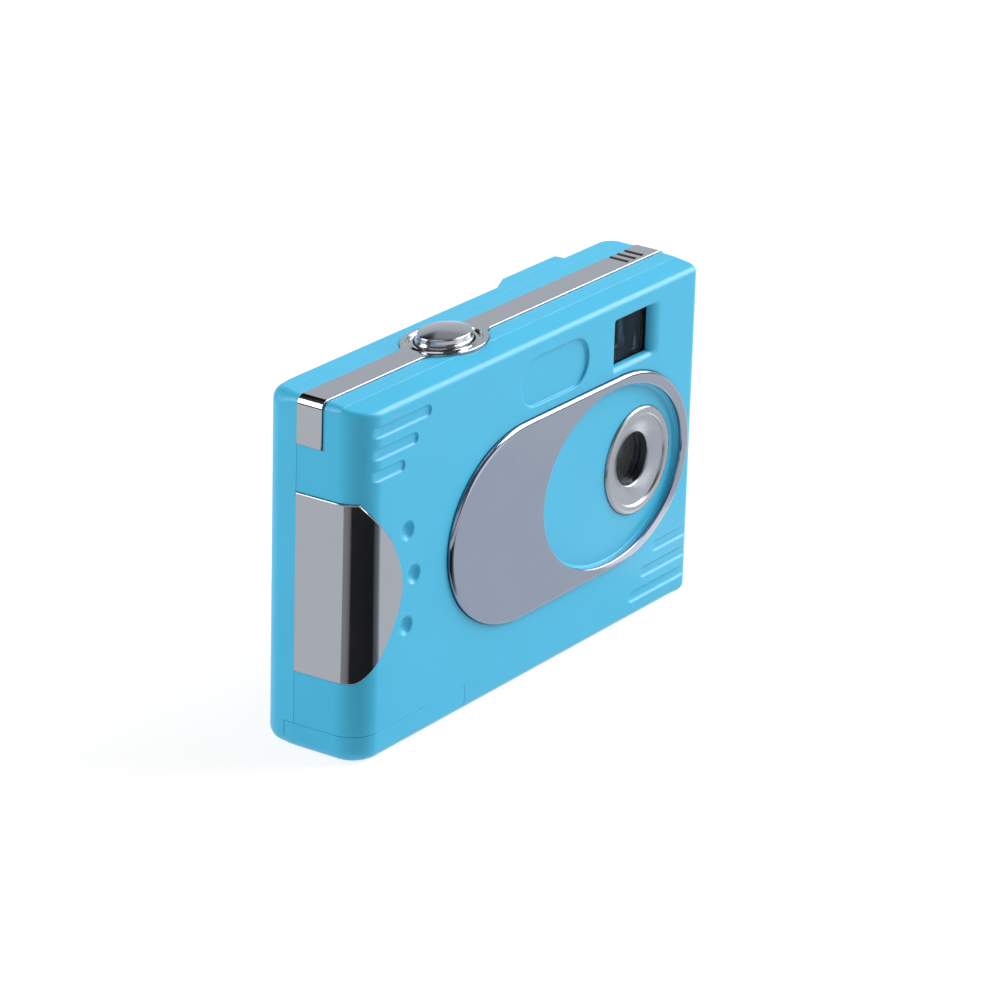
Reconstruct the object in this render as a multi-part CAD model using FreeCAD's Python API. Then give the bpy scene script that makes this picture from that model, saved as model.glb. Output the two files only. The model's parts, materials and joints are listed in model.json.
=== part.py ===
import FreeCAD, Part
import os, math

# Waterproof compact digital camera, millimetres.
# Design coordinates: X along the width (0 = left side seen from the front),
# Y from the front face (0) to the rear, Z up from the flat bottom (0).
# Everything is moved at export so that the origin is the bottom centre of the box.

V = FreeCAD.Vector

# ---------------------------------------------------------------- driving sizes
W = 92.0            # body width at the case seam
DEP = 18.4          # body depth, front face to rear face
H_STRIP = 58.5      # top of the bright top strip
H_BODY = 58.35      # top of the covers beside the strip
H_FRONT = 57.3      # top of the covers at the front edge
SEAM = 12.18        # depth of the seam between front and rear cover
WALL = 2.0
ROOF = 55.0         # underside of the top wall
R_FL = 5.0          # front left upright edge
R_FR = 2.0          # front right upright edge
R_RL = 3.2          # rear left upright edge
R_RR = 3.0
R_BOT = 2.0

STRIP_Y0 = 7.44
STRIP_T = 1.0
STRIP_OUT = 0.15    # how far the strip stands out of the sides
LEG_Z = 50.75       # lower end of the strip's two legs
BTN = (34.0, 9.7)   # shutter button centre in X, Y
BULGE = (8.3, 6.1)  # half axes of the strip's widened place
BTN_A, BTN_B = 5.5, 4.15
BTN_HOLE = (5.95, 4.6)
BTN_RIM = 59.6
BTN_TOP = 60.5
BTN_TRAVEL = 0.8

GRIP_OUT = 0.25
GRIP_T = 0.9

PLATE_OUT = 0.8     # face plate stands out of the front by this
PLATE_IN = 0.2      # and its turned-down rim sits this deep in the cover
PAD_Y = -0.15       # front of the pad that backs the plate
DISH_Y = 0.45       # floor of the dish in the plate's window
OV_X0, OV_X1, OV_Z0, OV_Z1 = 22.6, 89.3, 11.46, 44.6
OV_AX = 20.0        # half length of the plate's elliptic ends
WIN_C = (67.33, 28.02)
WIN_R = (19.67, 15.04)

LENS = (75.5, 28.05)

VF_FRONT = (66.9, 79.6, 45.1, 54.6)   # finder mouth in the front face
VF_GLASS = (67.4, 78.1, 46.2, 54.1)
HOOD_Y = 20.8
HOOD_X0, HOOD_X1 = 60.0, 78.6
HOOD_Z0 = 43.6

DOOR_X = 28.1       # door edge in the covers
DOOR_Z = 4.66
GAP = 0.15
HINGE = (16.2, 2.2) # door hinge axis in Y, Z
KNUCKLE_R = 2.2

CELL_R = 5.25
CELLS = ((8.5, 8.15), (19.5, 8.15))

KEYS = {"up_button": (76.0, 37.0), "menu_button": (76.0, 28.0),
        "down_button": (76.0, 19.0), "power_button": (84.0, 44.4)}
KEY_R = 3.35
KEY_HOLE = 3.40
KEY_TRAVEL = 0.7

SCREWS = ((32.6, 9.0), (43.6, 50.6), (85.6, 52.0), (85.6, 9.0))

DISP = (29.8, 65.8, 14.6, 42.6)       # display window in X, Z
USB = (36.0, 50.0, 3.35, 10.05)       # side cover in Z, Y

X0 = (-GRIP_OUT + W + STRIP_OUT) / 2.0
Y0 = (-PLATE_OUT + HOOD_Y) / 2.0

# ---------------------------------------------------------------- helpers
def box(x0, x1, y0, y1, z0, z1):
    return Part.makeBox(x1 - x0, y1 - y0, z1 - z0, V(x0, y0, z0))

def cyl_x(r, x0, x1, y, z):
    return Part.makeCylinder(r, x1 - x0, V(x0, y, z), V(1, 0, 0))

def cyl_y(r, y0, y1, x, z):
    return Part.makeCylinder(r, y1 - y0, V(x, y0, z), V(0, 1, 0))

def cyl_z(r, z0, z1, x, y):
    return Part.makeCylinder(r, z1 - z0, V(x, y, z0), V(0, 0, 1))

def round_wire(pts, radii, put):
    """closed wire through 2-D corners, each rounded with its own radius"""
    n = len(pts)
    ends = []
    for i in range(n):
        px, py = pts[i - 1]
        cx, cy = pts[i]
        nx, ny = pts[(i + 1) % n]
        r = radii[i]
        if r <= 0:
            ends.append(((cx, cy), None, (cx, cy)))
            continue
        ax, ay = px - cx, py - cy
        bx, by = nx - cx, ny - cy
        la, lb = math.hypot(ax, ay), math.hypot(bx, by)
        ax, ay, bx, by = ax / la, ay / la, bx / lb, by / lb
        ang = math.acos(max(-1, min(1, ax * bx + ay * by)))
        t = r / math.tan(ang / 2)
        mx, my = ax + bx, ay + by
        lm = math.hypot(mx, my)
        mx, my = mx / lm, my / lm
        dc = r / math.sin(ang / 2)
        mid = (cx + mx * (dc - r), cy + my * (dc - r))
        ends.append(((cx + ax * t, cy + ay * t), mid, (cx + bx * t, cy + by * t)))
    edges = []
    for i in range(n):
        a, m, b = ends[i]
        if m is not None:
            edges.append(Part.Arc(put(*a), put(*m), put(*b)).toShape())
        nxt = ends[(i + 1) % n][0]
        if math.hypot(nxt[0] - b[0], nxt[1] - b[1]) > 1e-6:
            edges.append(Part.LineSegment(put(*b), put(*nxt)).toShape())
    return Part.Wire(edges)

def prism_z(pts, radii, z0, z1):
    w = round_wire(pts, radii, lambda a, b: V(a, b, z0))
    return Part.Face(w).extrude(V(0, 0, z1 - z0))

def prism_y(pts, radii, y0, y1):
    w = round_wire(pts, radii, lambda a, b: V(a, y0, b))
    return Part.Face(w).extrude(V(0, y1 - y0, 0))

def prism_x(pts, radii, x0, x1):
    w = round_wire(pts, radii, lambda a, b: V(x0, a, b))
    return Part.Face(w).extrude(V(x1 - x0, 0, 0))

def ell_z(cx, cy, a, b, z0, z1):
    """elliptic cylinder standing along Z, a along X"""
    if a >= b:
        e = Part.Ellipse(V(cx + a, cy, z0), V(cx, cy + b, z0), V(cx, cy, z0))
    else:
        e = Part.Ellipse(V(cx, cy + b, z0), V(cx - a, cy, z0), V(cx, cy, z0))
    return Part.Face(Part.Wire(e.toShape())).extrude(V(0, 0, z1 - z0))

def ell_y(cx, cz, a, b, y0, y1):
    """elliptic cylinder along Y, a along X (a >= b)"""
    e = Part.Ellipse(V(cx + a, y0, cz), V(cx, y0, cz + b), V(cx, y0, cz))
    return Part.Face(Part.Wire(e.toShape())).extrude(V(0, y1 - y0, 0))

def oval_y(x0, x1, z0, z1, ax, y0, y1):
    """plate outline along Y: straight top and bottom, elliptic ends of half length ax"""
    cz = (z0 + z1) / 2.0
    b = (z1 - z0) / 2.0
    s = box(x0 + ax, x1 - ax, y0, y1, z0, z1)
    return s.fuse(ell_y(x0 + ax, cz, ax, b, y0, y1)).fuse(ell_y(x1 - ax, cz, ax, b, y0, y1)).removeSplitter()

def revolve_y(profile, cx, cz):
    """solid of revolution about a Y axis through cx, cz; profile = (radius, y) points"""
    pts = [V(cx + r, y, cz) for r, y in profile]
    f = Part.Face(Part.makePolygon(pts + [pts[0]]))
    return f.revolve(V(cx, 0, cz), V(0, 1, 0), 360)

def revolve_z(profile, cx, cy):
    pts = [V(cx + r, cy, z) for r, z in profile]
    f = Part.Face(Part.makePolygon(pts + [pts[0]]))
    return f.revolve(V(cx, cy, 0), V(0, 0, 1), 360)

def torus(R, r, c, d):
    return Part.makeTorus(R, r, V(*c), V(*d))

def coil(R, r, pitch, height, c, d=(0, 0, 1)):
    """open round wire spring, its axis along Z from point c"""
    h = Part.makeHelix(pitch, height, R)
    prof = Part.Wire(Part.Circle(V(R, 0, 0), V(0, 1, pitch / (2 * math.pi * R)), r).toShape())
    s = Part.Wire(h.Edges).makePipeShell([prof], True, True)
    s = Part.Solid(s) if s.ShapeType == "Shell" else s
    if d == (0, 1, 0):
        s.rotate(V(0, 0, 0), V(1, 0, 0), -90)
    s.translate(V(*c))
    return s

def one(s):
    """the single solid of a boolean result"""
    s = s.removeSplitter()
    if len(s.Solids) == 1:
        return s.Solids[0]
    big = sorted(s.Solids, key=lambda q: -q.Volume)
    print("   note: %d solids, volumes %s" % (len(big), [round(q.Volume, 3) for q in big]))
    return big[0]

OUT = []
def save(name, *solids):
    sh = []
    for s in solids:
        sh += s.Solids
    c = Part.Compound(sh) if len(sh) > 1 else sh[0]
    c.translate(V(-X0, -Y0, 0))
    ok = c.isValid()
    bb = c.BoundBox
    print("%-22s solids %d vol %9.2f valid %s  x %.2f..%.2f y %.2f..%.2f z %.2f..%.2f" % (
        name, len(c.Solids), c.Volume, ok, bb.XMin, bb.XMax, bb.YMin, bb.YMax, bb.ZMin, bb.ZMax))
    c.exportStep("parts/%s.step" % name)
    OUT.append((name, c))

os.makedirs("parts", exist_ok=True)

# ---------------------------------------------------------------- outer form of the case
A = prism_z([(0.45, 0), (W - 0.2, 0), (W, SEAM), (W - 0.15, DEP), (0.15, DEP), (0, SEAM)],
            [R_FL, R_FR, 0, R_RR, R_RL, 0], -1, 62)
B = prism_x([(0, 0), (DEP, 0), (DEP, 58.2), (SEAM, H_BODY), (4.2, 58.15), (0, H_FRONT)],
            [R_BOT, KNUCKLE_R, 0.8, 0, 0, 1.4], -1, W + 1)
C = prism_y([(0, 0), (W, 0), (W, H_BODY), (0, H_BODY)], [2.5, 1.6, 1.5, 1.5], -1, DEP + 1)
outer = A.common(B).common(C)

# finder hood on the rear: a low bump with a curved ramp on its left
hood = prism_z([(HOOD_X0 - 2, DEP - 2.0), (HOOD_X0, DEP - 0.2), (66.0, HOOD_Y), (HOOD_X1, HOOD_Y), (HOOD_X1, DEP - 2.0)],
               [0, 6.0, 5.0, 0.9, 0], HOOD_Z0, 58.3)
hood = hood.common(prism_x([(DEP - 2.5, HOOD_Z0), (HOOD_Y, HOOD_Z0), (HOOD_Y, 58.0), (DEP - 2.5, 58.25)],
                           [0, 1.2, 1.2, 0], HOOD_X0 - 3, HOOD_X1 + 1))

inner = prism_z([(2.2, WALL), (W - 2.1, WALL), (W - 2.0, DEP - WALL), (2.0, DEP - WALL)],
                [3.2, 1.0, 0.8, 2.2], WALL, ROOF)

front_half = box(-3, W + 3, -3, SEAM, -3, 65)
rear_half = box(-3, W + 3, SEAM, HOOD_Y + 3, -3, 65)

shell = outer.fuse(hood).cut(inner)
door_room = box(-1, DOOR_X, -2, DEP + 1, -1, DOOR_Z)
shell = shell.cut(door_room)

# ---------------------------------------------------------------- bright top strip
def strip_slab(z0, z1, grow=0.0):
    s = box(5, W - 5, STRIP_Y0 - grow, SEAM, z0, z1).fuse(
        ell_z(BTN[0], BTN[1], BULGE[0] + grow, BULGE[1] + grow, z0, z1)).removeSplitter()
    edges = []
    for e in s.Edges:
        if abs(e.BoundBox.ZLength - (z1 - z0)) < 1e-3 and e.BoundBox.XLength < 1e-3 and e.BoundBox.YLength < 1e-3:
            x, y = e.BoundBox.XMin, e.BoundBox.YMin
            if 20 < x < 48 and (abs(y - (STRIP_Y0 - grow)) < 0.05 or abs(y - SEAM) < 0.05):
                edges.append(e)
    try:
        s = s.makeFillet(4.0 - grow, edges)
    except Exception as ex:
        print("   strip flare left sharp:", ex)
    return s

slab = strip_slab(H_STRIP - STRIP_T, H_STRIP)
u_out = prism_y([(-STRIP_OUT, LEG_Z), (W + STRIP_OUT, LEG_Z), (W + STRIP_OUT, H_STRIP), (-STRIP_OUT, H_STRIP)],
                [0, 0, 1.6, 1.6], STRIP_Y0, SEAM)
u_in = prism_y([(STRIP_T - STRIP_OUT, LEG_Z - 1), (W - STRIP_T + STRIP_OUT, LEG_Z - 1),
                (W - STRIP_T + STRIP_OUT, H_STRIP - STRIP_T), (STRIP_T - STRIP_OUT, H_STRIP - STRIP_T)],
               [0, 0, 0.6, 0.6], STRIP_Y0 - 1, SEAM + 1)
strip_blank = u_out.cut(u_in).fuse(slab).removeSplitter()
strip = strip_blank.cut(ell_z(BTN[0], BTN[1], BTN_HOLE[0], BTN_HOLE[1], 55, 60))
strip = strip.cut(ell_z(BTN[0], BTN[1], 7.5, 5.55, H_STRIP - 0.35, 60))
for gx in (82.6, 84.7, 86.8):
    strip = strip.cut(box(gx - 0.45, gx + 0.45, 8.3, SEAM + 1, H_STRIP - 0.35, 60))
strip = one(strip)

# ---------------------------------------------------------------- D-shaped side grip plate
dz_top = 42.95
d_pts = [V(1.7, 0, 42.95), V(5.3, 0, 38.7)]
d_curve = [(5.3, 38.7), (7.6, 36.0), (9.3, 33.0), (10.4, 30.2), (10.85, 27.8), (10.5, 25.2),
           (9.5, 22.6), (8.0, 20.1), (6.2, 17.9), (3.9, 15.6), (1.8, 14.1), (0.3, 13.5)]
bs = Part.BSplineCurve()
bs.interpolate([V(x, -2, z) for x, z in d_curve])
d_wire = Part.Wire([
    Part.LineSegment(V(-2, -2, 13.46), V(-2, -2, 42.95)).toShape(),
    Part.LineSegment(V(-2, -2, 42.95), V(1.7, -2, 42.95)).toShape(),
    Part.LineSegment(V(1.7, -2, 42.95), V(5.3, -2, 38.7)).toShape(),
    bs.toShape(),
    Part.LineSegment(V(0.3, -2, 13.5), V(-2, -2, 13.46)).toShape()])
d_prism = Part.Face(d_wire).extrude(V(0, SEAM + 2, 0))

def outline(off):
    """case outline seen from above, moved outwards by off"""
    return prism_z([(0.45 - off, -off), (40, -off), (40, SEAM + 6), (0 - off, SEAM + 6), (0 - off, SEAM)],
                   [R_FL + off, 0, 0, 0, 0], 8, 48)
grip = outline(GRIP_OUT).cut(outline(GRIP_OUT - GRIP_T)).common(d_prism)
grip = one(grip.common(box(-2, 20, -2, SEAM, 0, 60)))

# ---------------------------------------------------------------- oval face plate
plate = oval_y(OV_X0, OV_X1, OV_Z0, OV_Z1, OV_AX, -PLATE_OUT, PLATE_IN)
edges = [e for e in plate.Edges if abs(e.BoundBox.YMin + PLATE_OUT) < 1e-4 and e.BoundBox.YLength < 1e-4]
try:
    plate = plate.makeChamfer(0.45, edges)
except Exception as ex:
    print("   plate edge left square:", ex)
plate = plate.cut(oval_y(OV_X0 + 0.9, OV_X1 - 0.9, OV_Z0 + 0.9, OV_Z1 - 0.9, OV_AX - 0.9, PAD_Y, PLATE_IN + 1))
plate = one(plate.cut(ell_y(WIN_C[0], WIN_C[1], WIN_R[0], WIN_R[1], -3, 3)))
plate_pad = oval_y(OV_X0 + 1.0, OV_X1 - 1.0, OV_Z0 + 1.0, OV_Z1 - 1.0, OV_AX - 1.0, PAD_Y, PLATE_IN + 0.5)
window_dish = ell_y(WIN_C[0], WIN_C[1], WIN_R[0], WIN_R[1], -3, DISH_Y)
plate_seat = oval_y(OV_X0 - 0.2, OV_X1 + 0.2, OV_Z0 - 0.2, OV_Z1 + 0.2, OV_AX + 0.2, -3, PLATE_IN)

# ---------------------------------------------------------------- lens ring and what is behind it
lx, lz = LENS
lens_ring = revolve_y([(4.5, 0.95), (6.2, 0.72), (8.0, 0.28), (8.2, 0.08), (8.6, -0.02), (8.95, 0.12), (9.2, 0.45), (9.2, 0.8),
                       (6.0, 0.8), (6.0, 2.6), (4.5, 2.6)], lx, lz)
lens_window = cyl_y(5.95, 2.6, 3.4, lx, lz)
window_seal = cyl_y(5.95, 3.4, 4.1, lx, lz).cut(cyl_y(4.9, 3.3, 4.2, lx, lz))
lens_barrel = cyl_y(4.6, 4.5, 9.6, lx, lz).cut(cyl_y(2.5, 4, 10, lx, lz)).cut(cyl_y(3.4, 4.0, 6.4, lx, lz)) \
    .cut(cyl_y(2.8, 8.2, 10, lx, lz))
def bicon(r, y, t, sag):
    """thick lens: flat edge t long, caps of height sag"""
    R = (r * r + sag * sag) / (2 * sag)
    a = cyl_y(r, y - sag, y + t + sag, lx, lz)
    s1 = Part.makeSphere(R, V(lx, y - sag + R, lz))
    s2 = Part.makeSphere(R, V(lx, y + t + sag - R, lz))
    return a.common(s1).common(s2)
front_lens = bicon(3.4, 5.1, 0.9, 0.35)
rear_lens = bicon(2.8, 8.4, 0.6, 0.25)
lens_stop = cyl_y(2.5, 7.0, 7.4, lx, lz).cut(cyl_y(1.1, 6, 8, lx, lz))
lens_holder = cyl_y(5.6, 6.2, 9.0, lx, lz).fuse(box(lx - 6.2, lx + 6.2, 8.9, 11.2, lz - 6.2, lz + 6.2)) \
    .cut(cyl_y(4.6, 6, 9.6, lx, lz)).cut(box(lx - 4.4, lx + 4.4, 9.6, 11.3, lz - 4.4, lz + 4.4))
image_sensor = box(lx - 3.6, lx + 3.6, 10.1, 11.2, lz - 3.6, lz + 3.6)

# ---------------------------------------------------------------- optical finder
vx0, vx1, vz0, vz1 = VF_FRONT
gx0, gx1, gz0, gz1 = VF_GLASS
def frustum_y(a, ya, b, yb):
    def w(q, y):
        return Part.makePolygon([V(q[0], y, q[2]), V(q[1], y, q[2]), V(q[1], y, q[3]), V(q[0], y, q[3]), V(q[0], y, q[2])])
    return Part.makeLoft([w(a, ya), w(b, yb)], True, True)
finder_mouth = frustum_y((vx0 - 0.12, vx1 + 0.12, vz0 - 0.12, vz1 + 0.12), -0.3, VF_GLASS, 1.4)
finder_front_window = box(67.0, 78.5, 1.4, 2.4, 45.8, 54.5)
tube_f = box(67.0, 78.5, 2.4, 9.0, 45.3, 54.9).cut(box(67.9, 77.6, 2, 8.2, 46.2, 54.1))
tube_r = box(68.3, 77.1, 9.0, 18.6, 46.2, 54.0)
finder_tube = one(tube_f.fuse(tube_r).cut(box(69.1, 76.3, 8, 19, 47.0, 53.2)))
finder_eyepiece = box(68.7, 76.7, 18.6, 19.6, 46.6, 53.6)

# ---------------------------------------------------------------- door at the lower left corner
hy, hz = HINGE
door = outer.common(box(-1, DOOR_X - GAP, -1, 14.0, -1, DOOR_Z - GAP))
door = door.cut(prism_z([(1.95, 1.7), (DOOR_X + 1, 1.7), (DOOR_X + 1, 15.0), (1.7, 15.0)], [3.4, 0, 0, 0], 2.4, 8))
door = door.fuse(cyl_x(KNUCKLE_R, 3.0, 25.8, hy, hz)).fuse(box(3.0, 25.8, 13.5, hy, 0, 1.9))
door = door.cut(cyl_x(0.65, 0, 28, hy, hz))
# finger nick at the door's free lower right edge
door = door.cut(Part.makeSphere(3.0, V(DOOR_X - GAP, 4.6, -2.1)))
battery_door = one(door)
door_pin = cyl_x(0.6, 1.4, 27.6, hy, hz)

ring_o = prism_z([(2.5, 2.4), (25.6, 2.4), (25.6, 13.6), (2.5, 13.6)], [3.0, 2.0, 2.0, 2.0], 2.4, 3.6)
ring_i = prism_z([(3.5, 3.4), (24.6, 3.4), (24.6, 12.6), (3.5, 12.6)], [2.0, 1.2, 1.2, 1.2], 2.0, 4.0)
door_gasket = one(ring_o.cut(ring_i))
door_contact = one(box(5.5, 22.5, 6.4, 9.9, 2.4, 2.8).fuse(cyl_z(1.5, 2.7, 6.1, CELLS[1][0], CELLS[1][1])))
door_spring = coil(2.3, 0.3, 1.05, 2.55, (CELLS[0][0], CELLS[0][1], 3.15))

# ---------------------------------------------------------------- battery tray, cells, contacts
tray = prism_z([(2.4, 2.3), (25.6, 2.3), (25.6, 14.0), (2.4, 14.0)], [3.0, 1.5, 1.5, 1.5], 3.7, 54.7)
tray = tray.fuse(prism_z([(2.38, 2.15), (27.95, 2.15), (27.95, 16.25), (2.38, 16.25)], [3.05, 0.3, 0.3, 2.2], 4.9, 5.7))
for cx, cy in CELLS:
    tray = tray.cut(cyl_z(5.35, 3.0, 52.6, cx, cy))
tray = tray.cut(box(22.0, 27, 7.6, 9.9, 52.1, 52.6)).cut(box(8.5, 12.0, 11.9, 15, 52.1, 52.6))
battery_tray = one(tray)
def cell(c, up):
    cx, cy = c
    if up:
        s = cyl_z(CELL_R, 6.2, 49.7, cx, cy).fuse(cyl_z(2.75, 49.6, 50.7, cx, cy))
    else:
        s = cyl_z(CELL_R, 7.2, 50.7, cx, cy).fuse(cyl_z(2.75, 6.2, 7.3, cx, cy))
    return one(s)
cell_left = cell(CELLS[0], True)
cell_right = cell(CELLS[1], False)
cell_contact = one(cyl_z(3.6, 52.15, 52.55, *CELLS[0]).fuse(cyl_z(1.6, 50.75, 52.2, *CELLS[0]))
                   .fuse(box(9.0, 11.5, 10.5, 15.0, 52.15, 52.55)))
cell_spring = coil(2.3, 0.3, 0.75, 0.75, (CELLS[1][0], CELLS[1][1], 51.08))
spring_plate = one(cyl_z(3.6, 52.15, 52.55, *CELLS[1]).fuse(box(20, 30.6, 7.75, 9.75, 52.15, 52.55))
                   .fuse(box(30.2, 30.6, 7.75, 11.2, 52.15, 52.55)))

# ---------------------------------------------------------------- boards and electronics
main_board = box(29.9, 88.6, 11.2, 12.15, 5.9, 54.2)
main_board = main_board.cut(box(67.9, 77.5, 10, 13, 45.8, 60))
for sx, sz in SCREWS:
    main_board = main_board.cut(cyl_y(2.9, 10, 13, sx, sz))
main_board = main_board.cut(box(29, 40.5, 10, 13, 50.9, 55))
main_board = one(main_board)
processor = box(46, 56, 10.1, 11.2, 28, 38)
memory_chip = box(36, 43, 10.2, 11.2, 24, 33)
buzzer = cyl_y(5.5, 8.6, 11.2, 51.0, 12.0)
display_panel = box(31.0, 64.6, 12.6, 15.6, 15.2, 42.0)
dx0, dx1, dz0, dz1 = DISP
display_window = prism_y([(dx0, dz0), (dx1, dz0), (dx1, dz1), (dx0, dz1)], [2.0] * 4, DEP - 1.15, DEP - 0.05)

switches = []
for n, (kx, kz) in KEYS.items():
    switches.append(one(box(kx - 2.2, kx + 2.2, 12.15, 13.2, kz - 2.2, kz + 2.2).fuse(cyl_y(1.1, 13.1, 13.7, kx, kz))))
mem_pts = [(70.2, 13.6), (81.6, 13.6), (81.6, 38.4), (89.0, 38.4), (89.0, 49.2), (78.9, 49.2), (78.9, 42.4), (70.2, 42.4)]
mem_in = [(70.9, 14.3), (80.9, 14.3), (80.9, 39.1), (88.3, 39.1), (88.3, 48.5), (79.6, 48.5), (79.6, 41.7), (70.9, 41.7)]
button_membrane = one(prism_y(mem_pts, [1.0] * 8, 14.0, 16.4).cut(prism_y(mem_in, [0.8] * 8, 14.5, 17)))

usb_board = box(80.0, 89.3, 8.95, 9.75, 37.4, 48.6)
usb_socket = box(80.6, 89.3, 5.05, 8.95, 39.2, 46.8).cut(box(83, 90, 5.45, 8.55, 39.6, 46.4)) \
    .fuse(box(82.9, 88.4, 6.6, 7.4, 40.4, 45.6))
usb_socket = one(usb_socket)
board_link = box(81.0, 87.0, 9.75, 11.2, 38.0, 40.4)

# ---------------------------------------------------------------- shutter button train
bx, by = BTN
ratio = BTN_B / BTN_A
R_d = (5.35 ** 2 + 0.9 ** 2) / (2 * 0.9)
prof = [V(0, 0, 57.75), V(BTN_A, 0, 57.75), V(BTN_A, 0, BTN_RIM - 0.15), V(5.35, 0, BTN_RIM)]
arc_mid = V(2.8, 0, BTN_TOP - R_d + math.sqrt(R_d * R_d - 2.8 ** 2))
w = Part.Wire([Part.LineSegment(prof[0], prof[1]).toShape(), Part.LineSegment(prof[1], prof[2]).toShape(),
               Part.LineSegment(prof[2], prof[3]).toShape(),
               Part.Arc(prof[3], arc_mid, V(0, 0, BTN_TOP)).toShape(),
               Part.LineSegment(V(0, 0, BTN_TOP), prof[0]).toShape()])
cap = Part.Face(w).revolve(V(0, 0, 0), V(0, 0, 1), 360)
m = FreeCAD.Matrix()
m.scale(V(1, ratio, 1))
cap = cap.transformGeometry(m)
cap.translate(V(bx, by, 0))
cap = cap.cut(cyl_z(3.3, 57, 59.35, bx, by)).fuse(cyl_z(1.2, 51.2, 59.4, bx, by))
cap = cap.cut(cyl_z(1.3, 52.15, 52.55, bx, by).cut(cyl_z(0.9, 52.0, 52.7, bx, by)))
shutter_button = one(cap)
shutter_clip = cyl_z(2.3, 52.15, 52.55, bx, by).cut(cyl_z(0.9, 51, 53, bx, by)).cut(box(bx - 0.75, bx + 0.75, by - 3, by, 51, 53))
shutter_clip = one(shutter_clip)
shutter_seal = torus(1.58, 0.38, (bx, by, 54.2), (0, 0, 1))
shutter_spring = coil(2.3, 0.2, 0.72, 2.08, (bx, by, 57.03))
shutter_switch = one(box(bx - 2.2, bx + 2.2, by - 2.2, by + 1.4, 46.7, 49.4).fuse(cyl_z(1.1, 49.3, 50.2, bx, by)))
switch_bracket = box(30.6, 37.6, 6.4, 11.2, 45.7, 46.7)

# ---------------------------------------------------------------- screws
screws = []
for sx, sz in SCREWS:
    s = cyl_y(1.0, 7.4, 17.0, sx, sz).fuse(cyl_y(1.9, 16.9, 17.9, sx, sz))
    s = s.cut(box(sx - 1.2, sx + 1.2, 17.45, 18, sz - 0.25, sz + 0.25)).cut(box(sx - 0.25, sx + 0.25, 17.45, 18, sz - 1.2, sz + 1.2))
    screws.append(one(s))

# ---------------------------------------------------------------- side cover over the data socket
uz0, uz1, uy0, uy1 = USB
ux = W - 0.04
usb_axis = (W - 0.75, uy0 + 0.6)
usb_recess = box(W - 1.35, W + 2, uy0 - 0.15, uy1 + 0.15, uz0 - 0.15, uz1 + 0.15)
flap = box(W - 1.15, ux - 0.02, usb_axis[1], uy1, uz0, uz1).cut(box(W - 0.18, W + 1, uy0 - 1, uy0 + 2.4, uz0 - 1, uz1 + 1))
flap = flap.fuse(cyl_z(0.57, uz0, uz1, usb_axis[0], usb_axis[1]))
flap = flap.common(A.common(box(60, 95, -1, SEAM, 0, 58)))
flap = flap.fuse(box(W - 2.55, W - 1.1, 5.75, 8.25, 39.95, 46.05))
flap = flap.cut(cyl_z(0.35, uz0 - 1, uz1 + 1, usb_axis[0], usb_axis[1]))
usb_cover = one(flap)
usb_pin = cyl_z(0.3, uz0 - 0.9, uz1 + 0.9, usb_axis[0], usb_axis[1])

# ---------------------------------------------------------------- seal between the covers
gas_o = prism_y([(1.5, 1.5), (W - 1.5, 1.5), (W - 1.5, 56.7), (1.5, 56.7)], [2.0] * 4, SEAM - 0.5, SEAM + 0.5)
gas_i = prism_y([(2.3, 2.3), (W - 2.3, 2.3), (W - 2.3, 55.9), (2.3, 55.9)], [1.2] * 4, SEAM - 1, SEAM + 1)
gas = gas_o.cut(gas_i)
# at the door the seal runs along the upper edge of the opening and the rib beside it
gas = gas.cut(box(-1, DOOR_X + 0.3, 0, 20, -1, DOOR_Z + 0.4))
cover_gasket = one(gas)

# ---------------------------------------------------------------- front cover
fc = shell.common(front_half)
fc = fc.fuse(box(DOOR_X, 29.5, 1.5, SEAM, 1.5, 5.6))                       # rib beside the door
fc = fc.fuse(cyl_y(7.3, 1.5, 4.2, lx, lz))                                 # lens window collar
for sx, sz in SCREWS:
    fc = fc.fuse(cyl_y(2.6, 1.5, SEAM, sx, sz).common(box(0, W - 1, 0, SEAM, 1, 57)))
fc = fc.fuse(cyl_z(3.6, 52.6, ROOF + 0.5, bx, by).common(box(20, 50, 2, SEAM, 50, 57)))   # button guide
fc = fc.cut(strip_blank)
fc = fc.cut(grip)
fc = fc.cut(plate_seat).fuse(plate_pad).cut(window_dish).cut(cyl_y(9.3, -1, 0.8, LENS[0], LENS[1]))
fc = fc.cut(cyl_y(6.0, -1, 2.6, lx, lz)).cut(cyl_y(5.95, 2.5, 5, lx, lz))
fc = fc.cut(finder_mouth).cut(box(67.0, 78.5, 1.4, 3, 45.8, 54.5))
fc = fc.cut(box(67.4, 78.1, -0.5, 3, 46.2, 54.1))
# shallow blank place beside the finder
fc = fc.cut(prism_y([(41.5, 46.3), (60.0, 46.3), (60.0, 54.5), (41.5, 54.5)], [4.09] * 4, -1, 0.5))
# grooves at the upper left, running out over the rounded edge
for zc, xe in ((54.05, 17.7), (50.55, 14.4), (47.05, 11.2)):
    fc = fc.cut(cyl_x(1.0, -2, xe - 1.0, -0.3, zc)).cut(Part.makeSphere(1.0, V(xe - 1.0, -0.3, zc)))
# grooves at the lower right, running out over the right edge
for zc, xs in ((11.15, 80.6), (7.55, 77.2), (4.05, 74.0)):
    fc = fc.cut(cyl_x(1.0, xs + 1.0, W + 3, -0.3, zc)).cut(Part.makeSphere(1.0, V(xs + 1.0, -0.3, zc)))
for px, pz in ((12.1, 35.9), (13.9, 28.2), (12.1, 20.2)):
    fc = fc.cut(Part.makeSphere(2.0, V(px, -1.25, pz)))
for sx, sz in SCREWS:
    fc = fc.cut(cyl_y(1.0, 7.0, SEAM + 1, sx, sz))
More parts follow.
